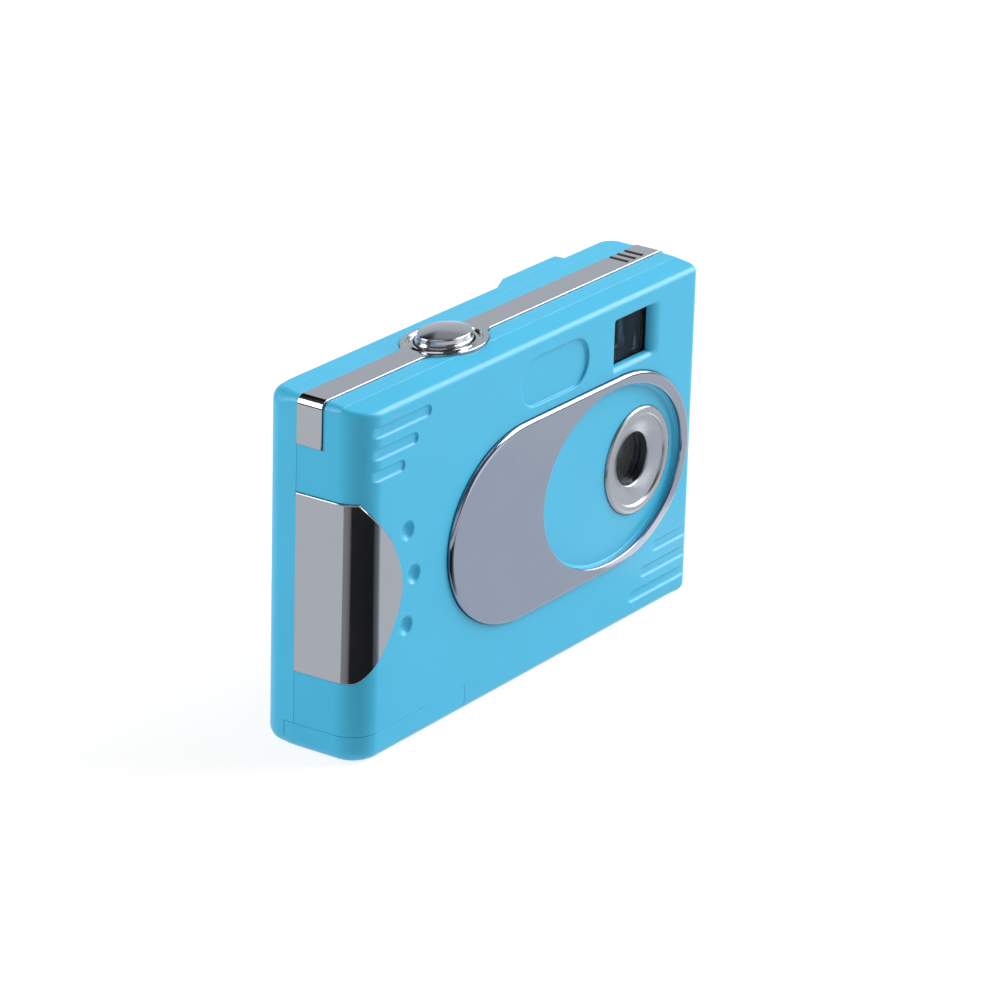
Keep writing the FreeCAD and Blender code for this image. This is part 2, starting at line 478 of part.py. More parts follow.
# button pocket, guide bore and seal seat
pocket = ell_z(bx, by, BTN_HOLE[0], BTN_HOLE[1], 56.8, 60)
fc = fc.cut(pocket).cut(cyl_z(1.25, 50, 58, bx, by)).cut(cyl_z(2.0, 51, 55.3, bx, by))
# socket opening and recess in the right side
fc = fc.cut(usb_recess).cut(box(88, 93, 5.05, 8.95, 39.2, 46.8))
fc = fc.cut(cyl_z(0.3, uz0 - 0.9, uz1 + 0.9, usb_axis[0], usb_axis[1]))
fc = fc.cut(gas)
front_cover = one(fc)

# ---------------------------------------------------------------- rear cover
rc = shell.common(rear_half).common(
    prism_y([(0, 0), (W, 0), (W, H_BODY), (0, H_BODY)], [2.5, 1.6, 1.5, 2.6], -1, HOOD_Y + 1))
rc = rc.fuse(box(DOOR_X, 29.5, SEAM, DEP - 1.5, 1.5, 5.6))
for x0, x1 in ((0, 2.75), (26.05, DOOR_X + 0.2)):
    lug = cyl_x(2.0, x0, x1, hy, hz).fuse(box(x0, x1, 14.2, DEP, hz, DOOR_Z + 0.2))
    rc = rc.fuse(lug.common(outer))
for sx, sz in SCREWS:
    rc = rc.fuse(cyl_y(2.6, SEAM, DEP - 1, sx, sz).common(box(0, W - 1, 0, 20, 1, 57)))
for sx, sz in SCREWS:
    rc = rc.cut(cyl_y(1.1, SEAM - 1, 18, sx, sz)).cut(cyl_y(2.0, 16.9, 20, sx, sz))
rc = rc.cut(strip_blank).cut(pocket)
rc = rc.cut(box(68.3, 77.1, 12, 18.6, 46.2, 54.0)).cut(box(68.7, 76.7, 18, 19.6, 46.6, 53.6))
rc = rc.cut(frustum_y((69.3, 76.1, 47.2, 53.0), 19.5, (68.6, 76.8, 46.5, 53.7), HOOD_Y + 0.05))
rc = rc.cut(prism_y([(dx0 - 0.1, dz0 - 0.1), (dx1 + 0.1, dz0 - 0.1), (dx1 + 0.1, dz1 + 0.1), (dx0 - 0.1, dz1 + 0.1)],
                    [2.1] * 4, DEP - 1.15, DEP + 1))
rc = rc.cut(prism_y([(dx0 + 2, dz0 + 2), (dx1 - 2, dz0 + 2), (dx1 - 2, dz1 - 2), (dx0 + 2, dz1 - 2)], [0.6] * 4, 15, DEP))
for kx, kz in KEYS.values():
    rc = rc.cut(cyl_y(KEY_HOLE, 15, 20, kx, kz))
rc = rc.cut(cyl_x(0.6, 1.4, 27.6, hy, hz))
rc = rc.cut(gas)
rear_cover = one(rc)

# ---------------------------------------------------------------- keys on the rear
key_solids = {}
for n, (kx, kz) in KEYS.items():
    k = cyl_y(KEY_R, 16.0, 19.1, kx, kz)
    e = [q for q in k.Edges if abs(q.BoundBox.YMin - 19.1) < 1e-4]
    k = k.makeFillet(0.5, e)
    k = k.fuse(cyl_y(4.1, 15.65, 16.33, kx, kz))
    key_solids[n] = one(k)

# ---------------------------------------------------------------- export
save("front_cover", front_cover)
save("rear_cover", rear_cover)
save("cover_gasket", cover_gasket)
save("top_strip", strip)
save("grip_plate", grip)
save("face_plate", plate)
save("lens_ring", lens_ring)
save("lens_window", lens_window)
save("window_seal", window_seal)
save("lens_barrel", lens_barrel)
save("front_lens", front_lens)
save("lens_stop", lens_stop)
save("rear_lens", rear_lens)
save("lens_holder", lens_holder)
save("image_sensor", image_sensor)
save("finder_front_window", finder_front_window)
save("finder_tube", finder_tube)
save("finder_eyepiece", finder_eyepiece)
save("battery_door", battery_door)
save("door_hinge_pin", door_pin)
save("door_gasket", door_gasket)
save("door_contact", door_contact)
save("door_spring", door_spring)
save("battery_tray", battery_tray)
save("battery_cell_left", cell_left)
save("battery_cell_right", cell_right)
save("cell_contact", cell_contact)
save("cell_spring", cell_spring)
save("spring_plate", spring_plate)
save("main_board", main_board)
save("processor_chip", processor)
save("memory_chip", memory_chip)
save("buzzer", buzzer)
save("display_panel", display_panel)
save("display_window", display_window)
save("rear_switches", *switches)
save("button_membrane", button_membrane)
for n in KEYS:
    save(n, key_solids[n])
save("usb_board", usb_board)
save("usb_socket", usb_socket)
save("board_link", board_link)
save("usb_cover", usb_cover)
save("usb_cover_pin", usb_pin)
save("shutter_button", shutter_button)
save("shutter_clip", shutter_clip)
save("shutter_seal", shutter_seal)
save("shutter_spring", shutter_spring)
save("shutter_switch", shutter_switch)
save("switch_bracket", switch_bracket)
save("case_screws", *screws)

# pairs that share volume
bad = 0
for i in range(len(OUT)):
    for j in range(i + 1, len(OUT)):
        a, b = OUT[i][1], OUT[j][1]
        if not a.BoundBox.intersect(b.BoundBox):
            continue
        v = a.common(b).Volume
        if v > 0.005:
            bad += 1
            print("overlap %-20s %-20s %.4f" % (OUT[i][0], OUT[j][0], v))
print("nodes", len(OUT), "overlaps", bad)
xs = [c.BoundBox for _, c in OUT]
print("box", min(b.XMin for b in xs), max(b.XMax for b in xs), min(b.YMin for b in xs), max(b.YMax for b in xs),
      min(b.ZMin for b in xs), max(b.ZMax for b in xs))
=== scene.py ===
import json
import math

import bpy
import numpy as np
from mathutils import Matrix, Vector
from mathutils.geometry import delaunay_2d_cdt


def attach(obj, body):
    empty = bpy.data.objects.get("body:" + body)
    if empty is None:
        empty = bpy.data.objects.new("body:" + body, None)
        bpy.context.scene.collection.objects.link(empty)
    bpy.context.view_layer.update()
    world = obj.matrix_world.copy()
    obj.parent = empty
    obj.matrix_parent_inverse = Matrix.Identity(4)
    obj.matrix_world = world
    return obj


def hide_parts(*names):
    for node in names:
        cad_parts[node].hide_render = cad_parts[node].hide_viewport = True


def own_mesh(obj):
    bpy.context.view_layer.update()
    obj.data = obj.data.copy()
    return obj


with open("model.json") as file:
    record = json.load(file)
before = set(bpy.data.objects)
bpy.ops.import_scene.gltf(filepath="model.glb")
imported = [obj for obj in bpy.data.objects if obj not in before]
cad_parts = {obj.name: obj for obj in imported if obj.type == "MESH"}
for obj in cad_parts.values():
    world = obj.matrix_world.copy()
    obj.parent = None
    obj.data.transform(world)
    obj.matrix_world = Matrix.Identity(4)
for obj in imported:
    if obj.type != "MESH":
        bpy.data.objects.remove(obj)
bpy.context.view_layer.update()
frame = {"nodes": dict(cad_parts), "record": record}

# Design coordinates, in millimetres, are those of the CAD source: X from the left side, Y from the
# front face backwards, Z up from the flat bottom.  to_row() brings them into the row frame in metres.
X0, Y0 = 45.95, 10.0
SEAM = 12.18


def to_row(p):
    p = np.asarray(p, float)
    return (p - np.array([X0, Y0, 0.0])) / 1000.0


# ------------------------------------------------------------------ camera
cam_data = bpy.data.cameras.new("camera")
cam = bpy.data.objects.new("camera", cam_data)
bpy.context.scene.collection.objects.link(cam)
right = Vector((0.57972, -0.81440, 0.02612))
up = Vector((0.28949, 0.23583, 0.92768))
back = -Vector((0.76166, 0.53023, -0.37247))
cam.matrix_world = Matrix((
    (right.x, up.x, back.x, -0.57113),
    (right.y, up.y, back.y, -0.40091),
    (right.z, up.z, back.z, 0.30797),
    (0, 0, 0, 1)))
cam_data.sensor_fit = "HORIZONTAL"
cam_data.sensor_width = 36.0
cam_data.lens = 170.21
cam_data.clip_start = 0.02
cam_data.clip_end = 30.0
bpy.context.scene.camera = cam
bpy.context.scene.view_settings.view_transform = "Standard"
bpy.context.scene.view_settings.look = "None"
bpy.context.scene.cycles.use_denoising = True
bpy.context.scene.cycles.max_bounces = 12
bpy.context.scene.cycles.glossy_bounces = 6
bpy.context.scene.cycles.transmission_bounces = 10
bpy.context.scene.cycles.sample_clamp_indirect = 6.0


# ------------------------------------------------------------------ materials
class Nodes:
    """a small builder for node materials"""

    def __init__(self, name):
        self.mat = bpy.data.materials.new(name)
        self.mat.use_nodes = True
        self.t = self.mat.node_tree
        self.t.nodes.clear()
        self.out = self.t.nodes.new("ShaderNodeOutputMaterial")
        self.bsdf = self.t.nodes.new("ShaderNodeBsdfPrincipled")
        self.t.links.new(self.bsdf.outputs[0], self.out.inputs[0])

    def node(self, kind, **values):
        n = self.t.nodes.new(kind)
        for k, v in values.items():
            setattr(n, k, v)
        return n

    def link(self, a, b):
        self.t.links.new(a, b)

    def coords(self, scale=(1, 1, 1)):
        c = self.node("ShaderNodeTexCoord")
        m = self.node("ShaderNodeMapping")
        m.inputs["Scale"].default_value = scale
        self.link(c.outputs["Object"], m.inputs[0])
        return m.outputs[0]

    def noise(self, at, scale, detail=3.0, rough=0.5):
        n = self.node("ShaderNodeTexNoise")
        n.inputs["Scale"].default_value = scale
        n.inputs["Detail"].default_value = detail
        n.inputs["Roughness"].default_value = rough
        self.link(at, n.inputs["Vector"])
        return n.outputs["Fac"]

    def remap(self, value, a, b, c, d):
        m = self.node("ShaderNodeMapRange")
        m.inputs["From Min"].default_value = a
        m.inputs["From Max"].default_value = b
        m.inputs["To Min"].default_value = c
        m.inputs["To Max"].default_value = d
        self.link(value, m.inputs["Value"])
        return m.outputs["Result"]

    def mix(self, fac, a, b):
        m = self.node("ShaderNodeMix", data_type="RGBA")
        for sock, v in ((m.inputs["A"], a), (m.inputs["B"], b)):
            sock.default_value = (*v, 1.0)
        for i in m.inputs:
            if i.name == "A" and i.type == "RGBA":
                i.default_value = (*a, 1.0)
            if i.name == "B" and i.type == "RGBA":
                i.default_value = (*b, 1.0)
        self.link(fac, m.inputs["Factor"])
        return [o for o in m.outputs if o.type == "RGBA"][0]

    def bump(self, height, strength, distance, normal=None):
        b = self.node("ShaderNodeBump")
        b.inputs["Strength"].default_value = strength
        b.inputs["Distance"].default_value = distance
        self.link(height, b.inputs["Height"])
        if normal is not None:
            self.link(normal, b.inputs["Normal"])
        return b.outputs["Normal"]

    def set(self, **values):
        for k, v in values.items():
            sock = self.bsdf.inputs[k.replace("_", " ")]
            if hasattr(v, "is_linked") or isinstance(v, bpy.types.NodeSocket):
                self.link(v, sock)
            else:
                sock.default_value = v
        return self.mat


def moulded(name, colour, rough, vary=0.03, grain=0.6, spec=0.5, coat=0.0, bump=0.05):
    """moulded plastic or rubber: very slight mottling of colour and gloss, and a fine skin"""
    n = Nodes(name)
    at = n.coords()
    big = n.noise(at, 90.0, 3.0, 0.55)
    fine = n.noise(at, 2600.0, 2.0, 0.5)
    c0 = tuple(x * (1 - vary) for x in colour)
    c1 = tuple(min(1.0, x * (1 + vary)) for x in colour)
    n.set(Base_Color=n.mix(n.remap(big, 0.3, 0.7, 0.0, 1.0), c0, c1))
    n.set(Roughness=n.remap(big, 0.25, 0.75, rough * 0.92, rough * 1.08))
    n.set(Normal=n.bump(fine, bump, 0.00002 * grain))
    n.bsdf.inputs["Specular IOR Level"].default_value = spec
    n.bsdf.inputs["IOR"].default_value = 1.5
    if coat:
        n.bsdf.inputs["Coat Weight"].default_value = coat
        n.bsdf.inputs["Coat Roughness"].default_value = 0.08
    return n.mat


def plated(name, colour, rough, smudge=0.3, bump=0.0):
    """polished plating: mirror finish with faint differences of gloss"""
    n = Nodes(name)
    at = n.coords()
    big = n.noise(at, 160.0, 4.0, 0.6)
    c0 = tuple(x * 0.985 for x in colour)
    c1 = tuple(min(1.0, x * 1.015) for x in colour)
    n.set(Base_Color=n.mix(n.remap(big, 0.3, 0.7, 0.0, 1.0), c0, c1))
    n.set(Roughness=n.remap(big, 0.3, 0.75, rough * (1 - smudge), rough * (1 + smudge)))
    n.bsdf.inputs["Metallic"].default_value = 1.0
    if bump:
        n.set(Normal=n.bump(n.noise(at, 60.0, 2.0, 0.5), bump, 0.00001))
    return n.mat


def brushed(name, colour, rough, centre=None, bump=0.15):
    """metal turned on a lathe about a Y axis through centre, or with straight fine lines along X"""
    n = Nodes(name)
    c = n.node("ShaderNodeTexCoord")
    if centre is not None:
        s = n.node("ShaderNodeVectorMath", operation="SUBTRACT")
        s.inputs[1].default_value = centre
        n.link(c.outputs["Object"], s.inputs[0])
        z = n.node("ShaderNodeVectorMath", operation="MULTIPLY")
        z.inputs[1].default_value = (1, 0, 1)
        n.link(s.outputs[0], z.inputs[0])
        ln = n.node("ShaderNodeVectorMath", operation="LENGTH")
        n.link(z.outputs[0], ln.inputs[0])
        comb = n.node("ShaderNodeCombineXYZ")
        n.link(ln.outputs["Value"], comb.inputs[0])
        at = comb.outputs[0]
        lines = n.noise(at, 9000.0, 2.0, 0.6)
        soft = n.noise(c.outputs["Object"], 240.0, 3.0, 0.5)
    else:
        m = n.node("ShaderNodeMapping")
        m.inputs["Scale"].default_value = (0.04, 1, 1)
        n.link(c.outputs["Object"], m.inputs[0])
        lines = n.noise(m.outputs[0], 6000.0, 2.0, 0.6)
        soft = n.noise(c.outputs["Object"], 240.0, 3.0, 0.5)
    c0 = tuple(x * 0.93 for x in colour)
    n.set(Base_Color=n.mix(n.remap(lines, 0.3, 0.7, 0.0, 1.0), c0, colour))
    n.set(Roughness=n.remap(soft, 0.3, 0.7, rough * 0.85, rough * 1.15))
    n.set(Normal=n.bump(lines, bump, 0.000004))
    n.bsdf.inputs["Metallic"].default_value = 1.0
    return n.mat


def clear(name, colour, rough=0.0, ior=1.49, weight=1.0):
    n = Nodes(name)
    at = n.coords()
    n.set(Roughness=n.remap(n.noise(at, 120.0, 3.0), 0.3, 0.7, rough, rough + 0.015))
    n.bsdf.inputs["Base Color"].default_value = (*colour, 1.0)
    n.bsdf.inputs["Transmission Weight"].default_value = weight
    n.bsdf.inputs["IOR"].default_value = ior
    return n.mat


M = {}
M["cover_blue"] = moulded("cover_blue", (0.036, 0.398, 0.624), 0.38, vary=0.02, spec=0.34, bump=0.08)
M["bright_chrome"] = plated("bright_chrome", (0.35, 0.37, 0.40), 0.09)
M["button_chrome"] = plated("button_chrome", (0.36, 0.38, 0.41), 0.16)
M["face_chrome"] = plated("face_chrome", (0.262, 0.298, 0.368), 0.12)
M["satin_metal"] = brushed("satin_metal", (0.33, 0.35, 0.385), 0.30, centre=to_row((75.5, 0, 28.05)), bump=0.04)
M["clear_window"] = clear("clear_window", (0.36, 0.46, 0.52), ior=1.16)
M["display_glass"] = moulded("display_glass", (0.012, 0.013, 0.016), 0.06, vary=0.2, bump=0.0)
M["lens_glass"] = clear("lens_glass", (0.85, 0.88, 0.97), ior=1.6)
M["black_plastic"] = moulded("black_plastic", (0.010, 0.010, 0.011), 0.5, vary=0.15, bump=0.2)
M["seal_rubber"] = moulded("seal_rubber", (0.55, 0.56, 0.57), 0.55, vary=0.05, bump=0.2)
M["cover_rubber"] = moulded("cover_rubber", (0.07, 0.42, 0.70), 0.48, vary=0.03, bump=0.2)
M["steel"] = brushed("steel", (0.62, 0.62, 0.64), 0.25)
M["contact_metal"] = brushed("contact_metal", (0.78, 0.72, 0.55), 0.22)
M["tray_plastic"] = moulded("tray_plastic", (0.03, 0.031, 0.034), 0.5, vary=0.1, bump=0.2)
M["cell_wrap"] = moulded("cell_wrap", (0.06, 0.065, 0.08), 0.28, vary=0.08, bump=0.05)
M["board_green"] = moulded("board_green", (0.02, 0.12, 0.05), 0.4, vary=0.2, bump=0.3)
M["chip_black"] = moulded("chip_black", (0.02, 0.02, 0.022), 0.5, vary=0.1, bump=0.3)
M["display_dark"] = moulded("display_dark", (0.02, 0.022, 0.028), 0.2, vary=0.1, bump=0.0)
M["key_grey"] = moulded("key_grey", (0.62, 0.63, 0.66), 0.3, vary=0.02, bump=0.08)

SLOT = {}
for m in frame["record"]["materials"]:
    SLOT[m["slot"]] = m
node_slot = {}
for m in frame["record"]["materials"]:
    for n in m.get("nodes", []):
        node_slot[n] = m["slot"]


def dress(obj, material):
    obj.data.materials.clear()
    obj.data.materials.append(material)


for name, obj in frame["nodes"].items():
    old = [s.material.name.split(".")[0] if s.material else "" for s in obj.material_slots]
    slot = node_slot.get(name) or next((o for o in old if o in M), None)
    if slot not in M:
        print("no material for", name, old)
        slot = "black_plastic"
    for i, s in enumerate(obj.material_slots):
        obj.material_slots[i].material = M[slot]
    if not obj.material_slots:
        obj.data.materials.append(M[slot])


BODY_OF = {n: b for b, ns in frame["record"]["behaviour"]["bodies"].items() for n in ns}


def frame_body(node):
    return BODY_OF[node]




# ------------------------------------------------------------------ geometry kit
class Solid:
    """Vertices, normals and faces of one piece, in design millimetres.  Every vertex is given its
    outward normal, and faces are turned to agree with them at the end."""

    def __init__(self):
        self.v, self.n, self.f = [], [], []

    def add(self, points, normals):
        p = np.asarray(points, float).reshape(-1, 3)
        q = np.array(np.broadcast_to(np.asarray(normals, float), p.shape))
        q /= np.maximum(np.linalg.norm(q, axis=1, keepdims=True), 1e-12)
        i = len(self.v)
        self.v.extend(p.tolist())
        self.n.extend(q.tolist())
        return np.arange(i, i + len(p))

    def at(self, idx):
        return np.array([self.v[i] for i in idx])

    def normals(self, idx):
        return np.array([self.n[i] for i in idx])

    def loft(self, rows, closed=False):
        for a, b in zip(rows, rows[1:]):
            m = len(a)
            for i in range(m if closed else m - 1):
                j = (i + 1) % m
                self.f.append((a[i], a[j], b[j], b[i]))

    def flat(self, loops, normal, axes, extra=None):
        """flat face between index loops (outer one first, then holes), with vertices of its own"""
        mine = [self.add(self.at(l), normal) for l in loops]
        flat2 = [self.at(l)[:, axes] for l in mine]
        fixed = [self.at(l) for l in mine]
        other = [k for k in range(3) if k not in axes][0]
        level = float(np.mean(fixed[0][:, other]))

        def lift(q):
            p = np.zeros((len(q), 3))
            p[:, axes[0]], p[:, axes[1]], p[:, other] = q[:, 0], q[:, 1], level
            return p, np.broadcast_to(np.asarray(normal, float), p.shape)

        sheet(self, lift, list(zip(flat2, mine)), [], extra)
        return mine

    def lip(self, idx, out, r, steps=3, upto=90.0):
        """rounds the skin over its border: out is the direction across the border, for each vertex"""
        p, n = self.at(idx), self.normals(idx)
        e = np.array(np.broadcast_to(np.asarray(out, float), p.shape))
        rows = [idx]
        for k in range(1, steps + 1):
            a = math.radians(upto) * k / steps
            rows.append(self.add(p + e * r * math.sin(a) - n * r * (1 - math.cos(a)),
                                 n * math.cos(a) + e * math.sin(a)))
        return rows

    def make(self, name, material, body, nodes=(), slot=None, smooth=True):
        v = np.array(self.v)
        n = np.array(self.n)
        faces = []
        for f in self.f:
            f = [int(i) for i in f]
            f = [i for k, i in enumerate(f) if i != f[k - 1]]
            if len(f) < 3:
                continue
            a, b, c = v[f[0]], v[f[1]], v[f[2]]
            g = np.cross(b - a, c - a)
            if len(f) == 4:
                g = g + np.cross(c - a, v[f[3]] - a)
            if g @ g < 1e-18:
                continue
            if g @ n[f].sum(0) < 0:
                f = f[::-1]
            faces.append(f)
        used = np.zeros(len(v), bool)
        for f in faces:
            used[f] = True
        new = np.cumsum(used) - 1
        v, n = v[used], n[used]
        faces = [[int(new[i]) for i in f] for f in faces]
        me = bpy.data.meshes.new(name)
        me.from_pydata(to_row(v).tolist(), [], faces)
        me.validate()
        me.update()
        me.polygons.foreach_set("use_smooth", [True] * len(me.polygons))
        if len(me.vertices) == len(n):
            me.normals_split_custom_set_from_vertices(n.tolist())
        o = bpy.data.objects.new(name, me)
        bpy.context.scene.collection.objects.link(o)
        me.materials.append(material)
        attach(o, body)
        if nodes:
            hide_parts(*nodes)
        return o


def within(points, loops):
    """even-odd test of 2-D points against closed loops"""
    p = np.asarray(points, float)
    hit = np.zeros(len(p), bool)
    for l in loops:
        a = np.asarray(l, float)
        b = np.roll(a, -1, axis=0)
        for (x1, y1), (x2, y2) in zip(a, b):
            if y1 == y2:
                continue
            m = (p[:, 1] > min(y1, y2)) & (p[:, 1] <= max(y1, y2))
            if m.any():
                x = x1 + (p[m, 1] - y1) * (x2 - x1) / (y2 - y1)
                hit[np.nonzero(m)[0][p[m, 0] < x]] ^= True
    return hit


def sheet(solid, surface, loops, lines, dots=None):
    """Triangulates a region of the plane and lifts it with surface(q) -> points, normals.
    loops = [(2-D points, vertex indices)] closed borders, lines = extra polylines [(points, closed)],
    dots = loose points inside."""
    pts, edges, known = [], [], []
    for q, idx in loops:
        i0, m = len(pts), len(q)
        pts += [tuple(x) for x in q]
        known += list(idx)
        edges += [(i0 + k, i0 + (k + 1) % m) for k in range(m)]
    borders = [q for q, _ in loops]
    for q, closed in lines:
        q = np.asarray(q, float)
        keep = within(q, borders)
        i0, m = len(pts), len(q)
        pts += [tuple(x) for x in q]
        known += [-1] * m
        for k in range(m if closed else m - 1):
            j = (k + 1) % m
            if keep[k] and keep[j]:
                edges.append((i0 + k, i0 + j))
    if dots is not None and len(dots):
        pts += [tuple(x) for x in dots]
        known += [-1] * len(dots)
    out, _, faces, orig, _, _ = delaunay_2d_cdt([Vector(p) for p in pts], edges, [], 0, 1e-6)
    q = np.array([tuple(p) for p in out])
    tri = np.array([f for f in faces], int)
    tri = tri[within(q[tri].mean(1), borders)]
    where = np.full(len(q), -1)
    for k, o in enumerate(orig):
        for j in o:
            if known[j] >= 0:
                where[k] = known[j]
                break
    need = np.unique(tri)
    need = need[where[need] < 0]
    if len(need):
        p, n = surface(q[need])
        where[need] = solid.add(p, n)
    solid.f.extend(map(tuple, where[tri].tolist()))


class Path:
    """open 2-D line with rounded corners, by arc length; side is +1 when outwards is on the right"""

    def __init__(self, pts, radii, side=1):
        self.seg, self.side, self.knots = [], side, [0.0]
        pts = [np.array(p, float) for p in pts]
        here = pts[0]
        for i in range(1, len(pts)):
            if i == len(pts) - 1 or radii[i] <= 0:
                self._line(here, pts[i])
                here = pts[i]
                continue
            a, b = pts[i - 1] - pts[i], pts[i + 1] - pts[i]
            a, b = a / np.linalg.norm(a), b / np.linalg.norm(b)
            ang = math.acos(a @ b)
            t = radii[i] / math.tan(ang / 2)
            m = (a + b) / np.linalg.norm(a + b)
            c = pts[i] + m * radii[i] / math.sin(ang / 2)
            p, q = pts[i] + a * t, pts[i] + b * t
            self._line(here, p)
            a0, a1 = math.atan2(*(p - c)[::-1]), math.atan2(*(q - c)[::-1])
            d = (a1 - a0 + math.pi) % (2 * math.pi) - math.pi
            self.seg.append(("arc", c, radii[i], a0, d))
            self.knots.append(self.knots[-1] + abs(d) * radii[i])
            here = q
        self.length = self.knots[-1]
        t = np.linspace(0, self.length, 8001)
        self.table = (t, *self(t)[0].T)

    def _line(self, p, q):
        self.seg.append(("line", p, q))
        self.knots.append(self.knots[-1] + np.linalg.norm(q - p))

    def __call__(self, s):
        s = np.asarray(s, float)
        p, d = np.zeros(s.shape + (2,)), np.zeros(s.shape + (2,))
        for k, g in enumerate(self.seg):
            lo = self.knots[k] if k else -1e9
            hi = self.knots[k + 1] if k < len(self.seg) - 1 else 1e9
            m = (s >= lo) & (s <= hi)
            if not m.any():
                continue
            x = s[m] - self.knots[k]
            if g[0] == "line":
                u = (g[2] - g[1]) / np.linalg.norm(g[2] - g[1])
                p[m], d[m] = g[1] + x[:, None] * u, u
            else:
                a = g[3] + np.sign(g[4]) * x / g[2]
                r = np.stack([np.cos(a), np.sin(a)], 1)
                p[m] = g[1] + g[2] * r
                d[m] = np.sign(g[4]) * np.stack([-r[:, 1], r[:, 0]], 1)
        return p, self.side * np.stack([d[..., 1], -d[..., 0]], -1)

    def at_x(self, x):
        t, px, _ = self.table
        return np.interp(x, px, t)

    def at_y(self, y, left=True):
        t, px, py = self.table
        h = len(t) // 2
        sl = slice(0, h) if left else slice(h, None)
        o = np.argsort(py[sl])
        return np.interp(y, py[sl][o], t[sl][o])


def steep(d, depth, lip, root, ang=84.0):
    """depth of a pocket at signed distance d inside its outline, with a rounded lip and root"""
    s, c, t = (f(math.radians(ang)) for f in (math.sin, math.cos, math.tan))
    a, w = lip * s, (depth - (lip + root) * (1 - c)) / t
    x = np.asarray(d, float) + a + w / 2
    b = a + w + root * s
    r = np.where(x < a, lip - np.sqrt(np.maximum(lip ** 2 - np.clip(x, 0, lip) ** 2, 0)), lip * (1 - c) + (x - a) * t)
    r = np.where(x > a + w, depth - root + np.sqrt(np.maximum(root ** 2 - np.clip(b - x, 0, root) ** 2, 0)), r)
    return np.where(x <= 0, 0.0, np.where(x >= b, depth, r))


def steep_lines(depth, lip, root, ang=84.0, support=0.2):
    s, c, t = (f(math.radians(ang)) for f in (math.sin, math.cos, math.tan))
    a, w = lip * s, (depth - (lip + root) * (1 - c)) / t
    x = [-support, 0, a * 0.5, a * 0.87, a, a + w, a + w + root * s * 0.5, a + w + root * s, a + w + root * s + support]
    return [q - a - w / 2 for q in x]


def smax(a, b, k):
    h = np.maximum(k - np.abs(a - b), 0) / k
    return np.maximum(a, b) + h * h * k * 0.25


def loop_normals(p):
    """outward normals of a closed 2-D loop"""
    p = np.asarray(p, float)
    t = np.roll(p, -1, 0) - np.roll(p, 1, 0)
    t /= np.linalg.norm(t, axis=1, keepdims=True)
    n = np.stack([t[:, 1], -t[:, 0]], 1)
    area2 = np.sum(p[:, 0] * np.roll(p[:, 1], -1) - np.roll(p[:, 0], -1) * p[:, 1])
    return n if area2 > 0 else -n


def rounded(x0, x1, z0, z1, r, step=1.2, arc=6):
    """rounded rectangle as a closed loop with its outward normals; r is one radius or four from the lower left, anticlockwise"""
    r = [r] * 4 if np.isscalar(r) else r
    cs = [(x0 + r[0], z0 + r[0], 180), (x1 - r[1], z0 + r[1], 270), (x1 - r[2], z1 - r[2], 0), (x0 + r[3], z1 - r[3], 90)]
    p, n = [], []
    for k, (cx, cz, a0) in enumerate(cs):
        for i in range(arc + 1):
            a = math.radians(a0 + 90.0 * i / arc)
            p.append((cx + r[k] * math.cos(a), cz + r[k] * math.sin(a)))
            n.append((math.cos(a), math.sin(a)))
        c2 = cs[(k + 1) % 4]
        r2 = r[(k + 1) % 4]
        a = math.radians(a0 + 90)
        end = (c2[0] + r2 * math.cos(a), c2[1] + r2 * math.sin(a))
        m = int(math.hypot(end[0] - p[-1][0], end[1] - p[-1][1]) / step)
        s = p[-1]
        for i in range(1, m):
            p.append((s[0] + (end[0] - s[0]) * i / m, s[1] + (end[1] - s[1]) * i / m))
            n.append((math.cos(a), math.sin(a)))
    return np.array(p), np.array(n)


def oval(x0, x1, z0, z1, ax, m=64, step=2.0):
    """straight top and bottom with elliptic ends of half length ax"""
    cz, b = (z0 + z1) / 2, (z1 - z0) / 2
    p, n = [], []
    for cx, a0 in ((x1 - ax, -90), (x0 + ax, 90)):
        for i in range(m + 1):
            a = math.radians(a0 + 180.0 * i / m)
            p.append((cx + ax * math.cos(a), cz + b * math.sin(a)))
            q = np.array([math.cos(a) / ax, math.sin(a) / b])
            n.append(tuple(q / np.linalg.norm(q)))
        s = p[-1]
        e = (x0 + ax, z1) if a0 < 0 else (x1 - ax, z0)
        k = int(abs(e[0] - s[0]) / step)
        for i in range(1, k):
            p.append((s[0] + (e[0] - s[0]) * i / k, s[1]))
            n.append((0.0, 1.0 if a0 < 0 else -1.0))
    return np.array(p), np.array(n)


def ellipse(cx, cz, a, b, m=96, a0=0.0):
    t = a0 + np.linspace(0, 2 * math.pi, m, endpoint=False)
    p = np.stack([cx + a * np.cos(t), cz + b * np.sin(t)], 1)
    n = np.stack([np.cos(t) / a, np.sin(t) / b], 1)
    return p, n / np.linalg.norm(n, axis=1, keepdims=True)


def profile_normals(prof):
    """2-D normals of a profile [(offset, level)], long runs counting most: to the left of travel"""
    p = np.array(prof, float)
    d = np.diff(p, axis=0)
    l = np.linalg.norm(d, axis=1, keepdims=True)
    s = np.stack([-d[:, 1], d[:, 0]], 1) / np.maximum(l, 1e-12) * l
    n = np.zeros_like(p)
    n[:-1] += s
    n[1:] += s
    return n / np.maximum(np.linalg.norm(n, axis=1, keepdims=True), 1e-12)


def arc_profile(c, r, a0, a1, steps):
    return [(c[0] + r * math.cos(math.radians(a0 + (a1 - a0) * i / steps)),
             c[1] + r * math.sin(math.radians(a0 + (a1 - a0) * i / steps))) for i in range(steps + 1)]


